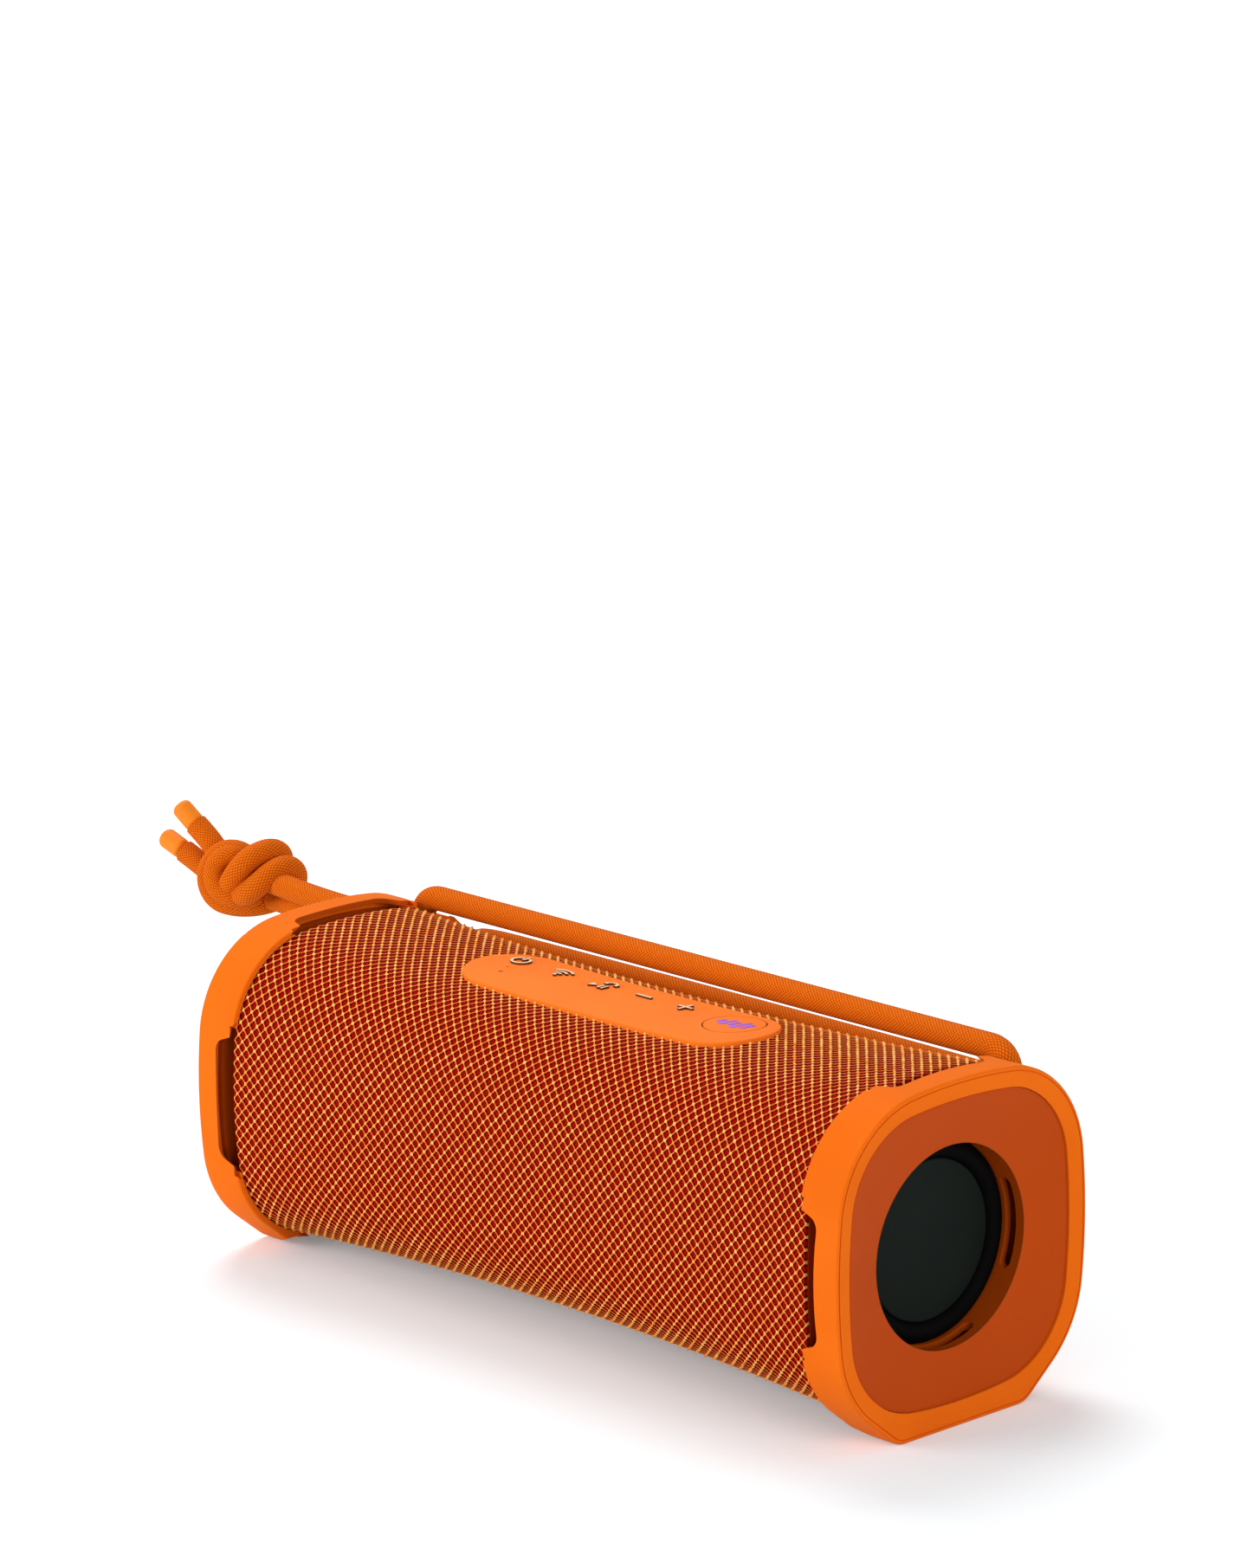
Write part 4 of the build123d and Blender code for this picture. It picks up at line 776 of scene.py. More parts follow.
# ---------------------------------------------------------------- body shape
@dataclass(frozen=True)
class BodyShape:
    """The waisted squircle that the cloth follows, as arcs: four bowed sides and four corners, in millimetres."""

    centre_z: float = 38.7
    half_size: float = 38.1
    side_radius: float = 136.0
    corner_radius: float = 25.5
    waist_inset: float = 4.5
    end_inset: float = 1.5
    end_x: float = 92.0
    mean_inset: float = 3.0

    @property
    def corner(self) -> float:
        """Finds how far out the corner arcs turn.

        Returns:
            The distance of a corner arc's centre from the axis, in y and in z.
        """
        side = self.side_radius - self.half_size
        reach = self.side_radius - self.corner_radius
        return (math.sqrt(2 * reach ** 2 - side ** 2) - side) / 2

    @property
    def side_angle(self) -> float:
        """Half the angle of a side arc, in radians."""
        return math.atan2(self.corner, self.side_radius - self.half_size + self.corner)

    def inset(self, x: float) -> float:
        """How far the cloth lies inside the caps' outline at x."""
        return self.waist_inset - (self.waist_inset - self.end_inset) * (x / self.end_x) ** 2

    def place(self, x: float, share: float, out: float) -> Vector:
        """Finds a point on the cloth.

        Args:
            x: Place along the body in millimetres.
            share: Share of the way round, from 0 at the middle of the top towards the rear.
            out: How far outside the cloth's plain surface, in millimetres.

        Returns:
            The point in metres.
        """
        side = (self.side_radius - self.mean_inset) * self.side_angle
        bend = (self.corner_radius - self.mean_inset) * (math.pi / 2 - 2 * self.side_angle)
        quarter = 2 * side + bend
        way = (share % 1.0) * 4 * quarter
        turns, rest = divmod(way + side, quarter)
        inset = self.inset(x) - out
        if rest <= 2 * side:
            angle = rest / side * self.side_angle - self.side_angle
            up = (self.side_radius - inset) * math.cos(angle) - (self.side_radius - self.half_size)
            across = (self.side_radius - inset) * math.sin(angle)
        else:
            angle = self.side_angle + (rest - 2 * side) / bend * (math.pi / 2 - 2 * self.side_angle)
            up = self.corner + (self.corner_radius - inset) * math.cos(angle)
            across = self.corner + (self.corner_radius - inset) * math.sin(angle)
        turn = turns * math.pi / 2
        y = across * math.cos(turn) + up * math.sin(turn)
        z = up * math.cos(turn) - across * math.sin(turn)
        return Vector((x, y, self.centre_z + z)) * MM


# ---------------------------------------------------------------- strap
class RopePart(Enum):
    """The strap's pieces, with the CAD node that each one replaces."""

    CORD = ("strap_rope", "strap_cord")
    UPPER = ("upper_knot_strand", "strap_knot")
    LOWER = ("lower_knot_strand", "strap_knot")
    UPPER_TIP = ("upper_tip_sleeve", "strap_tips")
    LOWER_TIP = ("lower_tip_sleeve", "strap_tips")


@dataclass
class Strap:
    """The rope: a long loop through both caps, both its ends tied in one overhand knot at the left."""

    thickness: float = 5.8
    length: float = 559.0
    sides: int = 28
    smoothness: int = 24
    sleeve_length: float = 7.4
    sleeve_radius: float = 2.55
    sleeve_rounding: float = 1.6
    sleeve_blunt: float = 0.25
    route: list[tuple[float, float, float]] = field(default_factory=lambda: [
        (-167.0, 40.2, 57.8), (-134.0, 39.8, 56.9), (-108.0, 41.0, 56.5), (-95.5, 42.0, 60.0),
        (-87.0, 37.4, 63.2), (-66.0, 36.8, 63.6), (0.0, 36.7, 63.8), (80.0, 36.8, 63.6), (93.5, 36.8, 62.5),
        (93.5, 23.3, 62.2), (93.5, 24.0, 75.5), (80.7, 24.0, 75.5), (-80.7, 24.0, 75.5), (-93.5, 24.0, 75.5),
        (-93.5, 23.3, 62.4), (-93.5, 37.6, 62.4), (-119.0, 37.0, 62.2), (-143.0, 36.2, 62.0),
        (-166.5, 37.6, 63.2),
    ])
    # each strand of the knot, from inside its wraps, round the loop, round the standing rope and out as a tail
    upper: list[tuple[float, float, float]] = field(default_factory=lambda: [
        (-163.0, 38.8, 62.6), (-168.4, 40.7, 62.8), (-174.4, 40.1, 66.1), (-178.5, 38.7, 68.1),
        (-181.3, 36.0, 67.6), (-183.0, 33.7, 64.3), (-182.6, 32.7, 60.2), (-179.4, 32.6, 56.8),
        (-175.1, 34.3, 55.8), (-170.7, 37.4, 56.0), (-168.3, 41.9, 56.8), (-165.5, 45.1, 59.4),
        (-162.7, 44.4, 63.9), (-161.8, 40.9, 66.9), (-162.4, 36.9, 66.3), (-163.9, 33.3, 63.4),
        (-167.4, 32.1, 60.4), (-173.8, 34.5, 58.6), (-182.9, 38.6, 58.8), (-189.3, 39.3, 60.7),
        (-197.5, 38.0, 64.6),
    ])
    lower: list[tuple[float, float, float]] = field(default_factory=lambda: [
        (-164.0, 40.4, 58.0), (-170.0, 40.3, 59.5), (-173.3, 38.2, 64.7), (-175.0, 35.8, 67.6),
        (-177.2, 33.4, 67.7), (-178.4, 31.4, 64.8), (-177.0, 30.6, 60.8), (-173.4, 31.9, 58.6),
        (-170.3, 35.3, 58.1), (-170.0, 40.3, 59.5), (-169.2, 44.2, 62.9), (-167.6, 44.1, 67.4),
        (-166.2, 40.6, 70.1), (-166.9, 36.8, 70.2), (-168.4, 33.1, 68.3), (-170.9, 31.4, 64.4),
        (-174.2, 32.2, 60.7), (-181.4, 36.8, 60.5), (-185.7, 39.3, 63.8), (-187.7, 39.8, 67.4),
        (-193.2, 38.2, 72.2),
    ])
    tips: tuple[tuple[float, float, float], ...] = ((-204.4, 37.0, 67.6), (-198.1, 37.0, 76.6))

    def line(self, name: str, points: list[tuple[float, float, float]]) -> list[Vector]:
        """Reads a smooth line from a NURBS spline through control points.

        Args:
            name: A name for the curve, which is taken away again.
            points: Control points in millimetres.

        Returns:
            Points of the smooth line in metres.
        """
        data = bpy.data.curves.new(name, "CURVE")
        data.dimensions, data.resolution_u = "3D", self.smoothness
        spline = data.splines.new("NURBS")
        spline.points.add(len(points) - 1)
        for knot, point in zip(spline.points, points):
            knot.co = (*(Vector(point) * MM), 1.0)
        spline.order_u, spline.use_endpoint_u = 3, True
        curve = bpy.data.objects.new(name, data)
        bpy.context.scene.collection.objects.link(curve)
        bpy.context.view_layer.update()
        mesh = bpy.data.meshes.new_from_object(curve.evaluated_get(bpy.context.evaluated_depsgraph_get()))
        found = [v.co.copy() for v in mesh.vertices]
        bpy.data.meshes.remove(mesh)
        bpy.data.objects.remove(curve)
        bpy.data.curves.remove(data)
        return found

    def tube(self, centres: list[Vector], radius: float, round_end: float = 0.0) -> bmesh.types.BMesh:
        """Extrudes a ring along a line without twist, with a UV map of metres along and turns around.

        Args:
            centres: The line's points in metres.
            radius: The rope's radius in millimetres.
            round_end: Length over which each end rounds off, in millimetres.

        Returns:
            The closed tube.
        """
        bm = bmesh.new()
        ways = [(b - a).normalized() for a, b in zip(centres, centres[1:])]
        ways = [ways[0]] + [(a + b).normalized() for a, b in zip(ways, ways[1:])] + [ways[-1]]
        turn = ways[0].to_track_quat("Z", "Y").to_matrix().to_4x4()
        ring = bmesh.ops.create_circle(bm, segments=self.sides, radius=radius * MM,
                                       matrix=Matrix.Translation(centres[0]) @ turn)["verts"]
        edges = list({e for v in ring for e in v.link_edges})
        first = list(edges)
        along = [0.0]
        rows = [ring]
        for before, after, old, new in zip(centres, centres[1:], ways, ways[1:]):
            ring, edges = grow(bm, edges)
            bmesh.ops.translate(bm, verts=ring, vec=after - before)
            bmesh.ops.rotate(bm, verts=ring, cent=after, matrix=old.rotation_difference(new).to_matrix())
            along.append(along[-1] + (after - before).length)
            rows.append(ring)
        layer = bm.loops.layers.uv.new("along")
        row_of = {v: i for i, row in enumerate(rows) for v in row}
        angle_of = self.angles(rows, centres, ways)
        for face in bm.faces:
            angles = [angle_of[v] for v in face.verts]
            # a face across the seam counts on past a whole turn
            wraps = max(angles) - min(angles) > 0.5
            for loop in face.loops:
                around = angle_of[loop.vert]
                loop[layer].uv = (along[row_of[loop.vert]], around + 1.0 if wraps and around < 0.5 else around)
        if round_end:
            for row, centre, way in zip(rows, centres, along):
                left = min(1.0, min(way, along[-1] - way) / (round_end * MM))
                dome = math.sqrt(max(0.0, 1 - (1 - left) ** 2))
                shrink = self.sleeve_blunt + (1 - self.sleeve_blunt) * dome
                bmesh.ops.scale(bm, vec=(shrink,) * 3, space=Matrix.Translation(-centre), verts=row)
        bmesh.ops.holes_fill(bm, edges=first + edges, sides=0)
        bmesh.ops.recalc_face_normals(bm, faces=bm.faces)
        return bm

    def angles(self, rows: list[list[bmesh.types.BMVert]], centres: list[Vector],
               ways: list[Vector]) -> dict[bmesh.types.BMVert, float]:
        """Works out each vertex's turn around the line, carried along without twist.

        Args:
            rows: The rings of vertices.
            centres: The line's points.
            ways: The line's directions.

        Returns:
            Turns from 0 to 1 by vertex.
        """
        found = {}
        zero = (rows[0][0].co - centres[0]).normalized()
        previous = ways[0]
        for row, centre, way in zip(rows, centres, ways):
            zero = previous.rotation_difference(way) @ zero
            previous = way
            side = way.cross(zero)
            for vert in row:
                spoke = vert.co - centre
                found[vert] = math.atan2(spoke.dot(side), spoke.dot(zero)) / math.tau % 1.0
                # the first point of a ring may come out a hair short of the whole turn
                if found[vert] > 0.9999:
                    found[vert] = 0.0
        return found

    def add_piece(self, part: RopePart, centres: list[Vector], radius: float, finish: Finish,
                  round_end: float = 0.0) -> bpy.types.Object:
        """Makes one piece of the strap in place of its CAD node.

        Args:
            part: Which piece.
            centres: Its line, in metres.
            radius: Its radius in millimetres.
            finish: Its finish.
            round_end: Length over which each end rounds off, in millimetres.

        Returns:
            The piece.
        """
        name, node = part.value
        piece = new_piece(name, self.tube(centres, radius, round_end), finish, "speaker_body")
        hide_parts(node)
        return piece

    def build(self) -> None:
        centres = self.line("strap_line", self.route)
        strap = self.add_piece(RopePart.CORD, centres, self.thickness / 2, Finish.ROPE)
        for strand, sleeved, points, tip in ((RopePart.UPPER, RopePart.UPPER_TIP, self.upper, self.tips[0]),
                                             (RopePart.LOWER, RopePart.LOWER_TIP, self.lower, self.tips[1])):
            line = self.line(strand.value[0], points)
            self.add_piece(strand, line, self.thickness / 2, Finish.ROPE)
            end = Vector(tip) * MM
            start = end - (end - line[-1]).normalized() * self.sleeve_length * MM
            shaft = [start.lerp(end, step / self.smoothness) for step in range(self.smoothness + 1)]
            self.add_piece(sleeved, shaft, self.sleeve_radius, Finish.TIP_SLEEVE,
                                         self.sleeve_rounding)


# ---------------------------------------------------------------- knitted cloth
@dataclass
class KnittedSleeve:
    """The cloth sleeve, knitted with real relief: knots and lines of net stand over the eyes between them.

    Sizes are in millimetres, but knot_size is a share of one mesh. The panel's cut is its middle, half its
    straight side and its radius; the port's is its x and z, half sizes and corner; a mouth is x, y and z, past
    which the cloth is cut away.
    """

    period: float = 2.7
    periods_round: int = 87
    half_length: float = 91.7
    knot_size: float = 0.21
    knot_height: float = 0.42
    line_height: float = 0.02
    eye_depth: float = -0.55
    spare: float = 4.0
    hem: float = 1.3
    under_rim: float = 90.2
    pressed_in: float = 0.1
    rear_from: float = 20.0
    edge_reach: float = 1.5
    panel: tuple[float, float, float] = (-2.0, 33.4, 10.6)
    port: tuple[float, float, float, float, float] = (50.0, 30.0, 13.7, 7.2, 3.7)
    mouth: tuple[float, float, float] = (89.4, 19.8, 59.2)
    shape: BodyShape = field(default_factory=BodyShape)

    @property
    def around(self) -> float:
        """Returns the cloth's width laid flat, which goes once round the body."""
        return self.period * self.periods_round

    def weave(self) -> bmesh.types.BMesh:
        """Knits the flat net: a grid of meshes with a small pyramid at each crossing and a dimple in each eye.

        Returns:
            The flat net in millimetres, its X along the body and its Y round it.
        """
        mesh_size = self.period / math.sqrt(2)
        reach = math.ceil((self.around / 2 + self.half_length) / math.sqrt(2) / mesh_size) + 1
        bm = bmesh.new()
        bmesh.ops.create_grid(bm, x_segments=2 * reach, y_segments=2 * reach, size=reach)
        bmesh.ops.translate(bm, verts=bm.verts, vec=(0.5, 0.5, 0.0))
        turned = Matrix.Rotation(math.radians(45), 4, "Z") @ Matrix.Scale(mesh_size, 4)
        beyond = [v for v in bm.verts if abs((turned @ v.co).x) > self.half_length + self.spare
                  or abs((turned @ v.co).y) > self.around / 2 + self.spare]
        bmesh.ops.delete(bm, geom=beyond, context="VERTS")
        bmesh.ops.bevel(bm, geom=[v for v in bm.verts if not v.is_boundary], offset=self.knot_size,
                        offset_type="OFFSET", affect="VERTICES", segments=1, profile=0.5, material=-1)
        bmesh.ops.poke(bm, faces=bm.faces)
        meshes = bm.loops.layers.uv.new("meshes")
        for face in bm.faces:
            for loop in face.loops:
                loop[meshes].uv = loop.vert.co.to_2d()
        for vert in bm.verts:
            # the net's lines run through the halves: a knot lies on two of them and an eye on none
            to_line = [abs(value - math.floor(value) - 0.5) for value in vert.co.to_2d()]
            height = self.eye_depth if min(to_line) > 0.3 else self.line_height
            vert.co.z = (self.knot_height if max(to_line) < 0.05 else height) / mesh_size
        bmesh.ops.transform(bm, matrix=turned, verts=bm.verts)
        for normal, limit in (((1, 0, 0), self.half_length), ((0, 1, 0), self.around / 2)):
            for way in (1, -1):
                cut(bm, Vector(normal) * limit * way, Vector(normal) * way, clear_beyond=True)
        return bm

    def cut_panel(self, bm: bmesh.types.BMesh) -> None:
        """Takes the cloth away under the control panel, while it is still flat.

        Args:
            bm: The flat net.
        """
        middle, half, radius = self.panel
        inside = []
        for face in bm.faces:
            x, y = face.calc_center_median().to_2d()
            if math.hypot(max(0.0, abs(x - middle) - half), y) < radius:
                inside.append(face)
        bmesh.ops.delete(bm, geom=inside, context="FACES")

    def wrap(self, bm: bmesh.types.BMesh) -> None:
        """Wraps the flat cloth round the body, flattening it where the rims press on it.

        Args:
            bm: The flat net, which comes back round and in metres.
        """
        for vert in bm.verts:
            free = max(0.0, min(1.0, (self.half_length - abs(vert.co.x)) / (self.half_length - self.under_rim)))
            out = vert.co.z * free - self.pressed_in * (1 - free)
            vert.co = self.shape.place(vert.co.x, vert.co.y / self.around, out)
        bmesh.ops.remove_doubles(bm, verts=bm.verts, dist=0.02 * MM)

    def cut_mouths(self, bm: bmesh.types.BMesh) -> None:
        """Cuts the cloth back at the two corners where the strap dives in.

        Args:
            bm: The wrapped cloth.
        """
        x, y, z = (value * MM for value in self.mouth)

        def corner_faces(way: int, start: float) -> list[bmesh.types.BMFace]:
            """Returns the faces of the rear top corner that lie past a place along the body."""
            spots = [(face, face.calc_center_median()) for face in bm.faces]
            return [face for face, spot in spots if way * spot.x > start and spot.y > y and spot.z > z]

        for way in (1, -1):
            faces = corner_faces(way, x - self.period * MM)
            parts = list({v for f in faces for v in f.verts}) + list({e for f in faces for e in f.edges}) + faces
            bmesh.ops.bisect_plane(bm, geom=parts, dist=1e-6, plane_co=(way * x, 0, 0), plane_no=(way, 0, 0))
            bmesh.ops.delete(bm, geom=corner_faces(way, x), context="FACES")

    def cut_port(self, bm: bmesh.types.BMesh) -> None:
        """Cuts the rounded window for the charging port at the rear.

        Args:
            bm: The wrapped cloth.
        """
        x, z, half_x, half_z, corner = (value * MM for value in self.port)

        def outside(spot: Vector) -> tuple[float, Vector]:
            """Measures a point against the window.

            Args:
                spot: The point.

            Returns:
                How far it lies outside the window, and the direction away from it.
            """
            core = Vector((max(-half_x + corner, min(half_x - corner, spot.x - x)) + x, 0.0,
                           max(-half_z + corner, min(half_z - corner, spot.z - z)) + z))
            away = Vector((spot.x, 0.0, spot.z)) - core
            return away.length - corner, away.normalized()

        inside = [f for f in bm.faces if f.calc_center_median().y > self.rear_from * MM
                  and outside(f.calc_center_median())[0] < 0]
        bmesh.ops.delete(bm, geom=inside, context="FACES")
        for vert in bm.verts:
            gap, away = outside(vert.co)
            if vert.is_boundary and vert.co.y > self.rear_from * MM and abs(gap) < self.edge_reach * MM:
                vert.co -= away * gap

    def hem_edges(self, bm: bmesh.types.BMesh) -> None:
        """Folds every open edge of the cloth down into its gap.

        Args:
            bm: The wrapped cloth with all its holes.
        """
        verts, _ = grow(bm, [e for e in bm.edges if e.is_boundary])
        for vert in verts:
            vert.co += self.inward(vert.co) * self.hem * MM

    def inward(self, spot: Vector) -> Vector:
        """Returns the direction from a point straight towards the body's long axis."""
        return Vector((0.0, -spot.y, self.shape.centre_z * MM - spot.z)).normalized()

    def build(self) -> None:
        bm = self.weave()
        self.cut_panel(bm)
        self.wrap(bm)
        self.cut_mouths(bm)
        self.cut_port(bm)
        self.hem_edges(bm)
        bmesh.ops.recalc_face_normals(bm, faces=bm.faces)
        sleeve = new_piece("knitted_sleeve", bm, Finish.KNIT, "speaker_body", sharp=179.0)
        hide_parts("fabric_sleeve")


# ---------------------------------------------------------------- control panel
@dataclass(frozen=True)
class Bar:
    """A straight stroke: its middle from the key's middle, its length and width, and its turn in degrees."""

    x: float
    y: float
    length: float
    width: float
    turn: float = 0.0

    def add(self, bm: bmesh.types.BMesh, x: float, y: float) -> None:
        """Adds the stroke to a flat mark.

        Args:
            bm: The mark.
            x: The key's middle along the panel in millimetres.
            y: The key's middle across it.
        """
        place = Matrix.Translation((x + self.x, y + self.y, 0)) @ Matrix.Rotation(math.radians(self.turn), 4, "Z")
        size = Matrix.Diagonal((self.length, self.width, 1.0, 1.0))
        bmesh.ops.create_grid(bm, x_segments=1, y_segments=1, size=0.5, matrix=place @ size)


@dataclass(frozen=True)
class Arc:
    """A bent stroke: its centre from the key's middle, middle radius, width, first angle and sweep in degrees."""

    x: float
    y: float
    radius: float
    width: float
    start: float
    sweep: float

    def add(self, bm: bmesh.types.BMesh, x: float, y: float) -> None:
        """Adds the stroke to a flat mark by turning a short line about the stroke's centre.

        Args:
            bm: The mark.
            x: The key's middle along the panel in millimetres.
            y: The key's middle across it.
        """
        centre = Vector((x + self.x, y + self.y, 0))
        way = Vector((math.cos(math.radians(self.start)), math.sin(math.radians(self.start)), 0))
        ends = [bmesh.ops.create_vert(bm, co=centre + way * (self.radius + side * self.width / 2))["vert"][0]
                for side in (-1, 1)]
        edge = bm.edges.new(ends)
        bmesh.ops.spin(bm, geom=[*ends, edge], cent=centre, axis=(0, 0, 1), angle=math.radians(self.sweep),
                       steps=max(4, round(self.sweep / 9)), use_merge=self.sweep == 360, use_duplicate=False)


@dataclass(frozen=True)
class Spot:
    """A filled spot: its middle from the key's middle, its radius, corners and turn in degrees."""

    x: float
    y: float
    radius: float
    corners: int
    turn: float = 0.0

    def add(self, bm: bmesh.types.BMesh, x: float, y: float) -> None:
        """Adds the spot to a flat mark.

        Args:
            bm: The mark.
            x: The key's middle along the panel in millimetres.
            y: The key's middle across it.
        """
        place = Matrix.Translation((x + self.x, y + self.y, 0)) @ Matrix.Rotation(math.radians(self.turn), 4, "Z")
        bmesh.ops.create_circle(bm, segments=self.corners, radius=self.radius, cap_ends=True, matrix=place)


class Mark(Enum):
    """The marks: the key that carries each, and its strokes in millimetres."""

    POWER = ("power_key", (Arc(0.4, -0.2, 2.15, 0.72, 112, 316), Bar(0.4, 1.5, 2.6, 0.72, 90)))
    WIRELESS = ("wireless_key", (*(Arc(0.2, -2.2, radius, 0.72, 48, 84) for radius in (1.3, 2.7, 4.1)),
                                 Spot(0.2, -2.2, 0.5, 16)))
    PLAY = ("play_key", (Spot(-1.6, -1.4, 1.25, 3, -90), Bar(1.0, -1.4, 2.4, 0.6, 90), Bar(2.1, -1.4, 2.4, 0.6, 90),
                         Arc(1.4, 1.2, 1.5, 0.6, 20, 140), Bar(-0.1, 1.5, 1.1, 1.0, 90), Bar(2.9, 1.5, 1.1, 1.0, 90)))
    MINUS = ("minus_key", (Bar(0.0, 0.0, 4.7, 0.75),))
    PLUS = ("plus_key", (Bar(-0.3, 0.0, 4.4, 0.75), Bar(-0.3, -1.29, 1.82, 0.75, 90), Bar(-0.3, 1.29, 1.82, 0.75, 90)))
    BOOST = ("boost_key", tuple(Bar(-4.0 + 2.0 * step, 0.0, length, 1.1, 78)
                                for step, length in enumerate((2.4, 4.4, 3.2, 5.4, 3.8))))

    @property
    def key(self) -> str:
        """Returns the name of the key that carries the mark."""
        return self.value[0]

    @property
    def strokes(self) -> tuple[Bar | Arc | Spot, ...]:
        """Returns the strokes of the mark, in the order in which they are drawn."""
        return self.value[1]


@dataclass
class ControlPanel:
    """A silicone skin over the top of the body, with keys flush in it and raised marks on them.

    Holes and keys are given by their x, y and radius, in millimetres. An edge that turns by more than a sharp
    angle, in degrees, stays crisp.
    """

    length: float = 91.0
    width: float = 24.2
    middle: float = -2.0
    proud: float = 0.9
    edge: float = 0.35
    edge_steps: int = 5
    skirt: float = 1.85
    key_skirt: float = 1.2
    gap: float = 0.025
    groove: float = 0.32
    groove_depth: float = 0.3
    seal_overlap: float = 0.1
    seal_thickness: float = 0.2
    pinhole: tuple[float, float, float] = (-37.6, -0.6, 0.4)
    lens: tuple[float, float, float] = (-36.3, -3.9, 0.62)
    keys: dict[Mark, tuple[float, float, float]] = field(default_factory=lambda: {
        Mark.POWER: (-39.0, 4.6, 4.7), Mark.WIRELESS: (-25.6, 4.6, 4.7), Mark.PLAY: (-12.2, 4.6, 4.7),
        Mark.MINUS: (1.2, 4.6, 4.7), Mark.PLUS: (14.6, 4.6, 4.7), Mark.BOOST: (31.4, 2.8, 6.9),
    })
    mark_height: float = 0.5
    mark_edge: float = 0.1
    ink_height: float = 0.1
    ink_edge: float = 0.04
    mark_sunk: float = 0.02
    skin_strip: float = 3.0
    key_strip: float = 1.5
    rim_zone: float = 0.3
    sharp: float = 50.0
    mark_sharp: float = 30.0
    shape: BodyShape = field(default_factory=BodyShape)

    @property
    def half_straight(self) -> float:
        """Returns half the length of the panel's straight sides."""
        return (self.length - self.width) / 2

    def spine(self, x: float) -> float:
        """Returns the place on the panel's middle line, between its round ends, that is nearest to x."""
        return max(-self.half_straight, min(self.half_straight, x - self.middle)) + self.middle

    def top(self, x: float, y: float) -> float:
        """Returns the height of the panel's surface in millimetres."""
        radius = self.shape.side_radius - self.shape.inset(x) + self.proud
        return self.shape.centre_z - (self.shape.side_radius - self.shape.half_size) + math.sqrt(radius ** 2 - y ** 2)

    def lay(self, bm: bmesh.types.BMesh) -> None:
        """Lays a flat shape on the panel's surface, and turns millimetres into metres.

        Args:
            bm: The shape, whose Z is its height over the surface.
        """
        for vert in bm.verts:
            vert.co = Vector((vert.co.x, vert.co.y, self.top(vert.co.x, vert.co.y) + vert.co.z)) * MM
        bmesh.ops.recalc_face_normals(bm, faces=bm.faces)

    def slice_up(self, bm: bmesh.types.BMesh, width: float) -> None:
        """Cuts flat faces into strips that can bend with the surface.

        Args:
            bm: The flat shape.
            width: Greatest width of a strip in millimetres.
        """
        for axis in (0, 1):
            values = [v.co[axis] for v in bm.verts]
            place = math.ceil(min(values) / width) * width
            while place < max(values):
                point, normal = Vector((0, 0, 0)), Vector((0, 0, 0))
                point[axis], normal[axis] = place, 1.0
                cut(bm, point, normal)
                place += width

    def outward(self, spot: Vector) -> Vector:
        """Returns the way straight out of the panel's rim at a point near it."""
        return Vector((spot.x - self.spine(spot.x), spot.y, 0.0)).normalized()

    def holes(self) -> list[tuple[float, float, float]]:
        """Lists the holes of the skin.

        Returns:
            Each hole's x, y and radius in millimetres.
        """
        found = [self.pinhole, self.lens]
        for mark, (x, y, radius) in self.keys.items():
            found.append((x, y, radius + (self.groove if mark is Mark.BOOST else self.gap)))
        return found

    def skin(self) -> bmesh.types.BMesh:
        """Makes the panel's skin with its holes, rounded rim and skirt.

        Returns:
            The skin, laid on the body.
        """
        bm = bmesh.new()
        segments = 96
        rim = self.width / 2 - self.edge
        turn = Matrix.Rotation(math.pi / segments, 4, "Z")
        for vert in bmesh.ops.create_circle(bm, segments=segments, radius=rim, matrix=turn)["verts"]:
            vert.co.x += self.middle + math.copysign(self.half_straight, vert.co.x)
        for x, y, radius in self.holes():
            bmesh.ops.create_circle(bm, segments=64, radius=radius, matrix=Matrix.Translation((x, y, 0)))
        bmesh.ops.triangle_fill(bm, use_beauty=True, use_dissolve=False, edges=list(bm.edges), normal=(0, 0, 1))
        self.slice_up(bm, self.skin_strip)
        near_rim = rim - self.rim_zone
        open_edges = [e for e in bm.edges if e.is_boundary]
        outer = [e for e in open_edges
                 if all((v.co - Vector((self.spine(v.co.x), 0, 0))).length > near_rim for v in e.verts)]
        inner = [e for e in open_edges if e not in set(outer)]
        # the rim turns down through a quarter circle
        angles = [math.pi / 2 * step / self.edge_steps for step in range(self.edge_steps + 1)]
        for before, angle in zip(angles, angles[1:]):
            verts, outer = grow(bm, outer)
            for vert in verts:
                vert.co += self.outward(vert.co) * self.edge * (math.sin(angle) - math.sin(before))
                vert.co.z -= self.edge * (math.cos(before) - math.cos(angle))
        for edges, drop in ((outer, self.skirt - self.edge), (inner, self.skirt)):
            verts, _ = grow(bm, edges)
            bmesh.ops.translate(bm, verts=verts, vec=(0, 0, -drop))
        self.lay(bm)
        return bm

    def cap(self, x: float, y: float, radius: float) -> bmesh.types.BMesh:
        """Makes a key's flush top with a skirt.

        Args:
            x: The key's place along the body in millimetres.
            y: The key's place across it.
            radius: The key's radius.

        Returns:
            The top, laid on the body.
        """
        bm = bmesh.new()
        bmesh.ops.create_circle(bm, segments=64, radius=radius, cap_ends=True, matrix=Matrix.Translation((x, y, 0)))
        self.slice_up(bm, self.key_strip)
        verts, _ = grow(bm, [e for e in bm.edges if e.is_boundary])
        bmesh.ops.translate(bm, verts=verts, vec=(0, 0, -self.key_skirt))
        self.lay(bm)
        return bm

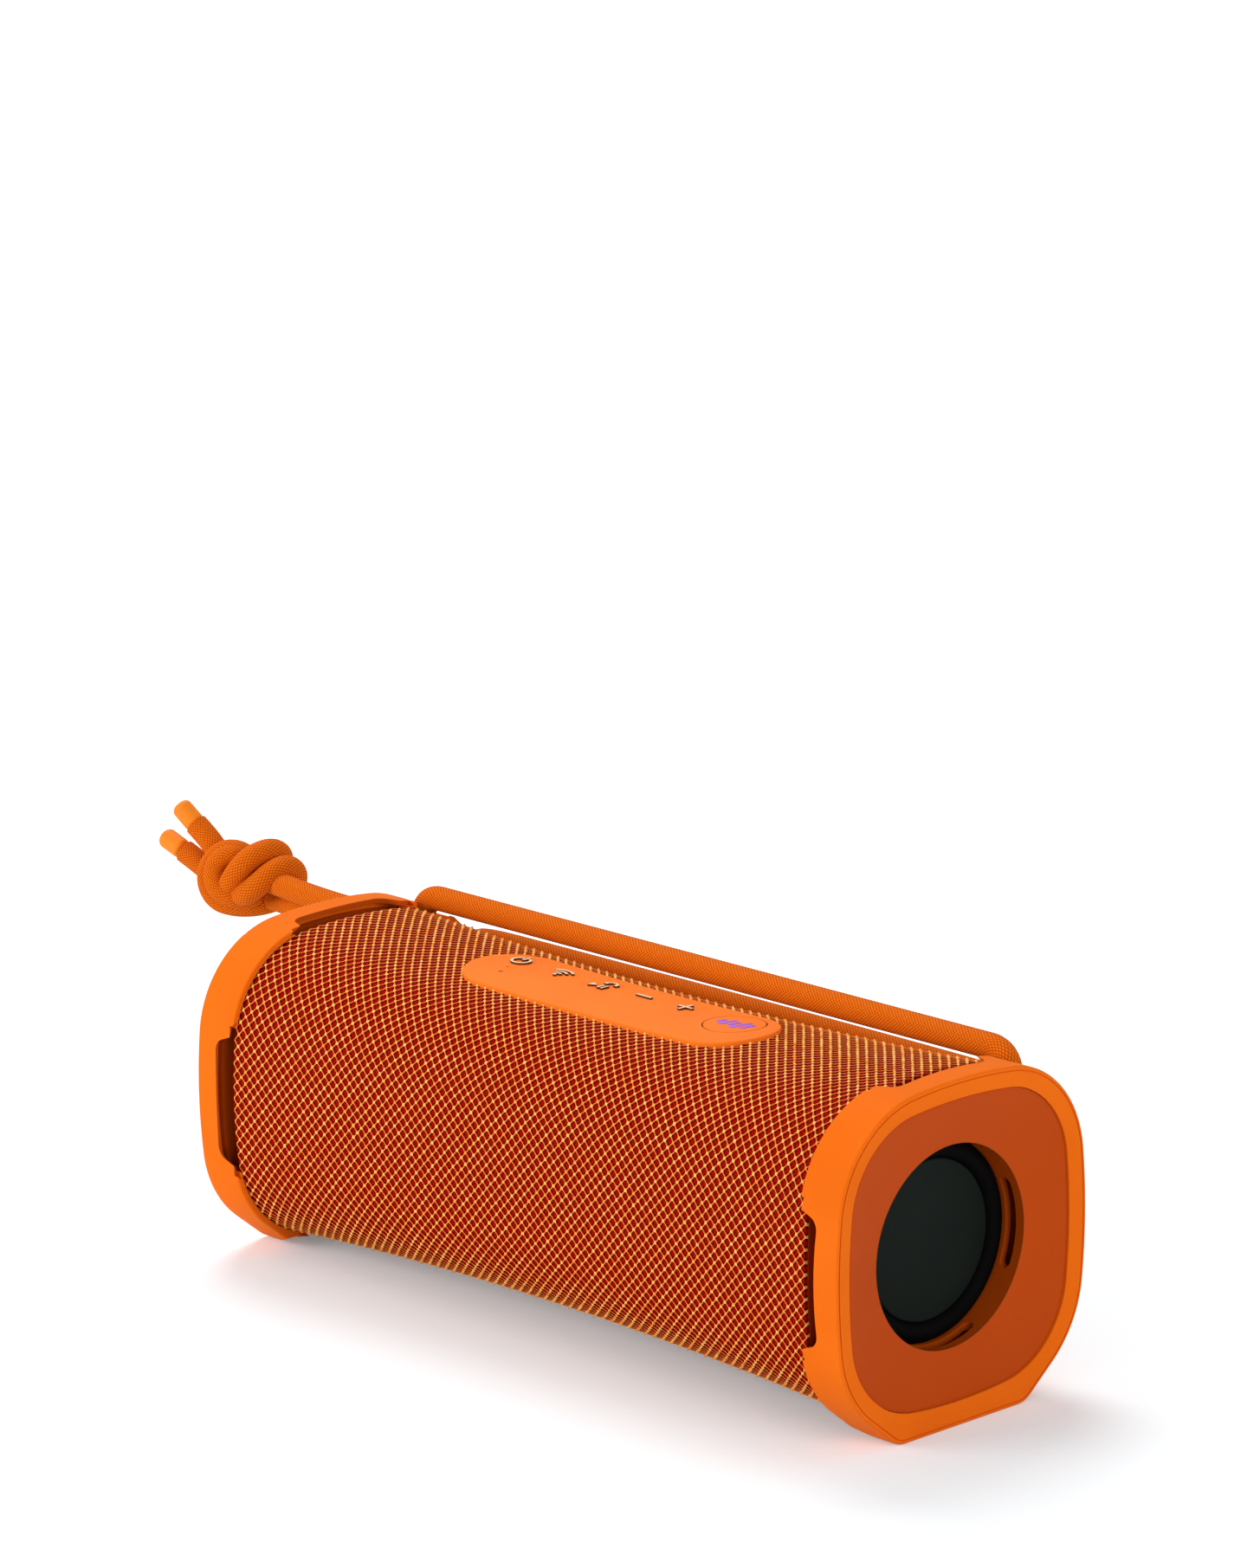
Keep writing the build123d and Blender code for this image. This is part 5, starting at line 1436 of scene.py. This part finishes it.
    def draw(self, mark: Mark) -> bmesh.types.BMesh:
        """Draws a mark flat, then raises it with softened edges.

        Args:
            mark: Which mark.

        Returns:
            The mark, laid on its key.
        """
        bm = bmesh.new()
        x, y, _ = self.keys[mark]
        for stroke in mark.strokes:
            stroke.add(bm, x, y)
        printed = mark is Mark.BOOST
        raised = bmesh.ops.extrude_face_region(bm, geom=list(bm.faces))["geom"]
        tops = [g for g in raised if isinstance(g, bmesh.types.BMFace)]
        bmesh.ops.translate(bm, verts=list({v for f in tops for v in f.verts}),
                            vec=(0, 0, self.ink_height if printed else self.mark_height))
        rims = [e for f in tops for e in f.edges if sum(g in tops for g in e.link_faces) == 1]
        bmesh.ops.bevel(bm, geom=rims, offset=self.ink_edge if printed else self.mark_edge, offset_type="OFFSET",
                        affect="EDGES", segments=2, profile=0.5, material=-1)
        bmesh.ops.translate(bm, verts=bm.verts, vec=(0, 0, -self.mark_sunk))
        self.lay(bm)
        return bm

    def seal(self) -> bmesh.types.BMesh:
        """Makes the dark sealing ring at the bottom of the groove round the big key.

        Returns:
            The ring, laid in its groove.
        """
        bm = bmesh.new()
        x, y, radius = self.keys[Mark.BOOST]
        Arc(0.0, 0.0, radius + self.groove / 2, self.groove + self.seal_overlap, 0, 360).add(bm, x, y)
        bmesh.ops.translate(bm, verts=bm.verts, vec=(0, 0, -self.groove_depth))
        self.lay(bm)
        bmesh.ops.solidify(bm, geom=list(bm.faces), thickness=self.seal_thickness * MM)
        return bm

    def build(self) -> None:
        """Makes the skin, the keys, their marks and the seal round the big key, and dresses what lies under them."""
        panel = new_piece("panel_skin", self.skin(), Finish.PANEL_SILICONE, "speaker_body",
                          sharp=self.sharp)
        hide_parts("control_panel")
        for mark, (x, y, radius) in self.keys.items():
            body = f"{mark.key}_body"
            top = new_piece(f"{mark.key}_cap", self.cap(x, y, radius), Finish.PANEL_SILICONE, body,
                            sharp=self.sharp)
            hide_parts(mark.key)
            # the violet boost mark is ink; the others take the relief finish with painted highlight and shade
            ink = Finish.VIOLET_INK if mark is Mark.BOOST else Finish.MARK_PAINTED_RELIEF
            new_piece(f"{mark.key}_mark", self.draw(mark), ink, body,
                      sharp=self.mark_sharp)
        new_piece("boost_key_seal", self.seal(), Finish.BLACK_RUBBER, "speaker_body")
        dress(Finish.BOARD, "key_board")
        dress(Finish.CHIP_EPOXY, "tact_switches")
        dress(Finish.LIGHT_LENS, "charge_light")
        dress(Finish.BLACK_RUBBER, "microphone")


# ---------------------------------------------------------------- ends
class Side(Enum):
    """The two ends of the body, with the way that each one faces along X."""

    LEFT = -1
    RIGHT = 1

    @property
    def word(self) -> str:
        """Returns the side's name as the nodes have it."""
        return self.name.lower()


@dataclass
class EndCap:
    """One end: the soft cap, the smoked cover with the radiator behind it, and the frame that holds them.

    The ribs stand at two angles, in degrees, from each flat side towards the next. Their reach is measured out
    from the body's long axis and their x along it, in millimetres.
    """

    side: Side
    rib_angles: tuple[float, float] = (29.0, 61.0)
    rib_reach: tuple[float, float] = (30.3, 39.2)
    rib_x: tuple[float, float] = (92.1, 96.7)
    rib_thickness: float = 1.6
    rib_edge: float = 0.3
    shape: BodyShape = field(default_factory=BodyShape)

    def ribs(self) -> bmesh.types.BMesh:
        """Makes the ribs round the frame's neck, which close the view from one notch to the next.

        Returns:
            The ribs, two behind each corner of the rim.
        """
        bm = bmesh.new()
        (near, far), (low, high) = self.rib_x, self.rib_reach
        size = Matrix.Diagonal((far - near, self.rib_thickness, high - low, 1.0))
        middle = Matrix.Translation((self.side.value * (near + far) / 2, 0.0, self.shape.centre_z))
        out = Matrix.Translation((0.0, 0.0, (low + high) / 2))
        for corner in range(0, 360, 90):
            for angle in self.rib_angles:
                turn = Matrix.Rotation(math.radians(corner + angle), 4, "X")
                bmesh.ops.create_cube(bm, size=1.0, matrix=Matrix.Scale(MM, 4) @ middle @ turn @ out @ size)
        bmesh.ops.bevel(bm, geom=list(bm.edges), offset=self.rib_edge * MM, offset_type="OFFSET", affect="EDGES",
                        segments=2, profile=0.5, material=-1)
        bmesh.ops.recalc_face_normals(bm, faces=bm.faces)
        return bm

    def build(self) -> None:
        """Makes the ribs and dresses the rest of the end."""
        word = self.side.word
        new_piece(f"{word}_neck_ribs", self.ribs(), Finish.BROWN_PLASTIC, "speaker_body")
        dress(Finish.CAP_RUBBER, f"{word}_end_cap")
        dress(Finish.SMOKED_COVER, f"{word}_radiator_cover")
        dress(Finish.BROWN_PLASTIC, f"{word}_end_frame", f"{word}_radiator_frame")
        dress(Finish.DISC_PLASTIC, f"{word}_radiator_disc")
        dress(Finish.BLACK_RUBBER, f"{word}_radiator_surround", f"{word}_end_gasket")


# ---------------------------------------------------------------- what the cloth covers
@dataclass(frozen=True)
class Housing:
    """The two shells of the body, with the grilles in the front one and the screws that close the ends."""

    shells: tuple[str, ...] = ("front_housing", "rear_housing")
    grilles: tuple[str, ...] = ("woofer_grille", "tweeter_grille")
    screws: tuple[str, ...] = ("end_screws",)

    def build(self) -> None:
        """Dresses the shells, the grilles and the screws."""
        dress(Finish.BROWN_PLASTIC, *self.shells)
        dress(Finish.BLACK_PLASTIC, *self.grilles)
        dress(Finish.ZINC_STEEL, *self.screws)


@dataclass(frozen=True)
class Drivers:
    """The woofer and the tweeter, from their moving parts to their magnets."""

    paper_parts: tuple[str, ...] = ("woofer_cone", "woofer_spider", "tweeter_dome")
    mouldings: tuple[str, ...] = ("woofer_basket", "tweeter_housing")
    rubber_parts: tuple[str, ...] = ("woofer_surround",)
    steel_parts: tuple[str, ...] = ("woofer_magnet", "woofer_screws")

    def build(self) -> None:
        """Dresses both drivers."""
        dress(Finish.PAPER_PULP, *self.paper_parts)
        dress(Finish.BLACK_PLASTIC, *self.mouldings)
        dress(Finish.BLACK_RUBBER, *self.rubber_parts)
        dress(Finish.ZINC_STEEL, *self.steel_parts)


@dataclass(frozen=True)
class Electronics:
    """The battery, the main board and what is soldered to it."""

    cells: tuple[str, ...] = ("battery_cells",)
    holders: tuple[str, ...] = ("battery_holder",)
    boards: tuple[str, ...] = ("main_board",)
    chips: tuple[str, ...] = ("board_components",)
    screws: tuple[str, ...] = ("board_screws",)

    def build(self) -> None:
        """Dresses the battery and the board."""
        dress(Finish.SHRINK_WRAP, *self.cells)
        dress(Finish.BLACK_PLASTIC, *self.holders)
        dress(Finish.BOARD, *self.boards)
        dress(Finish.CHIP_EPOXY, *self.chips)
        dress(Finish.ZINC_STEEL, *self.screws)


@dataclass(frozen=True)
class ChargingPort:
    """The socket at the rear, its frame, and the cover that turns on a pin."""

    covers: tuple[str, ...] = ("port_cover",)
    frames: tuple[str, ...] = ("port_bezel",)
    steel_parts: tuple[str, ...] = ("usb_socket", "port_pin")

    def build(self) -> None:
        """Dresses the port."""
        dress(Finish.CAP_RUBBER, *self.covers)
        dress(Finish.BROWN_PLASTIC, *self.frames)
        dress(Finish.ZINC_STEEL, *self.steel_parts)


def main() -> None:
    """Builds the scene in order: camera and cord first, then the cloth, the panel and the rest."""
    logging.basicConfig(level=logging.INFO, format="%(message)s")
    assemblies = (Studio(), Strap(), KnittedSleeve(), ControlPanel(), EndCap(Side.LEFT), EndCap(Side.RIGHT),
                  Housing(), Drivers(), Electronics(), ChargingPort())
    for assembly in assemblies:
        log.info("building %s", type(assembly).__name__)
        assembly.build()


if __name__ == "__main__":
    main()
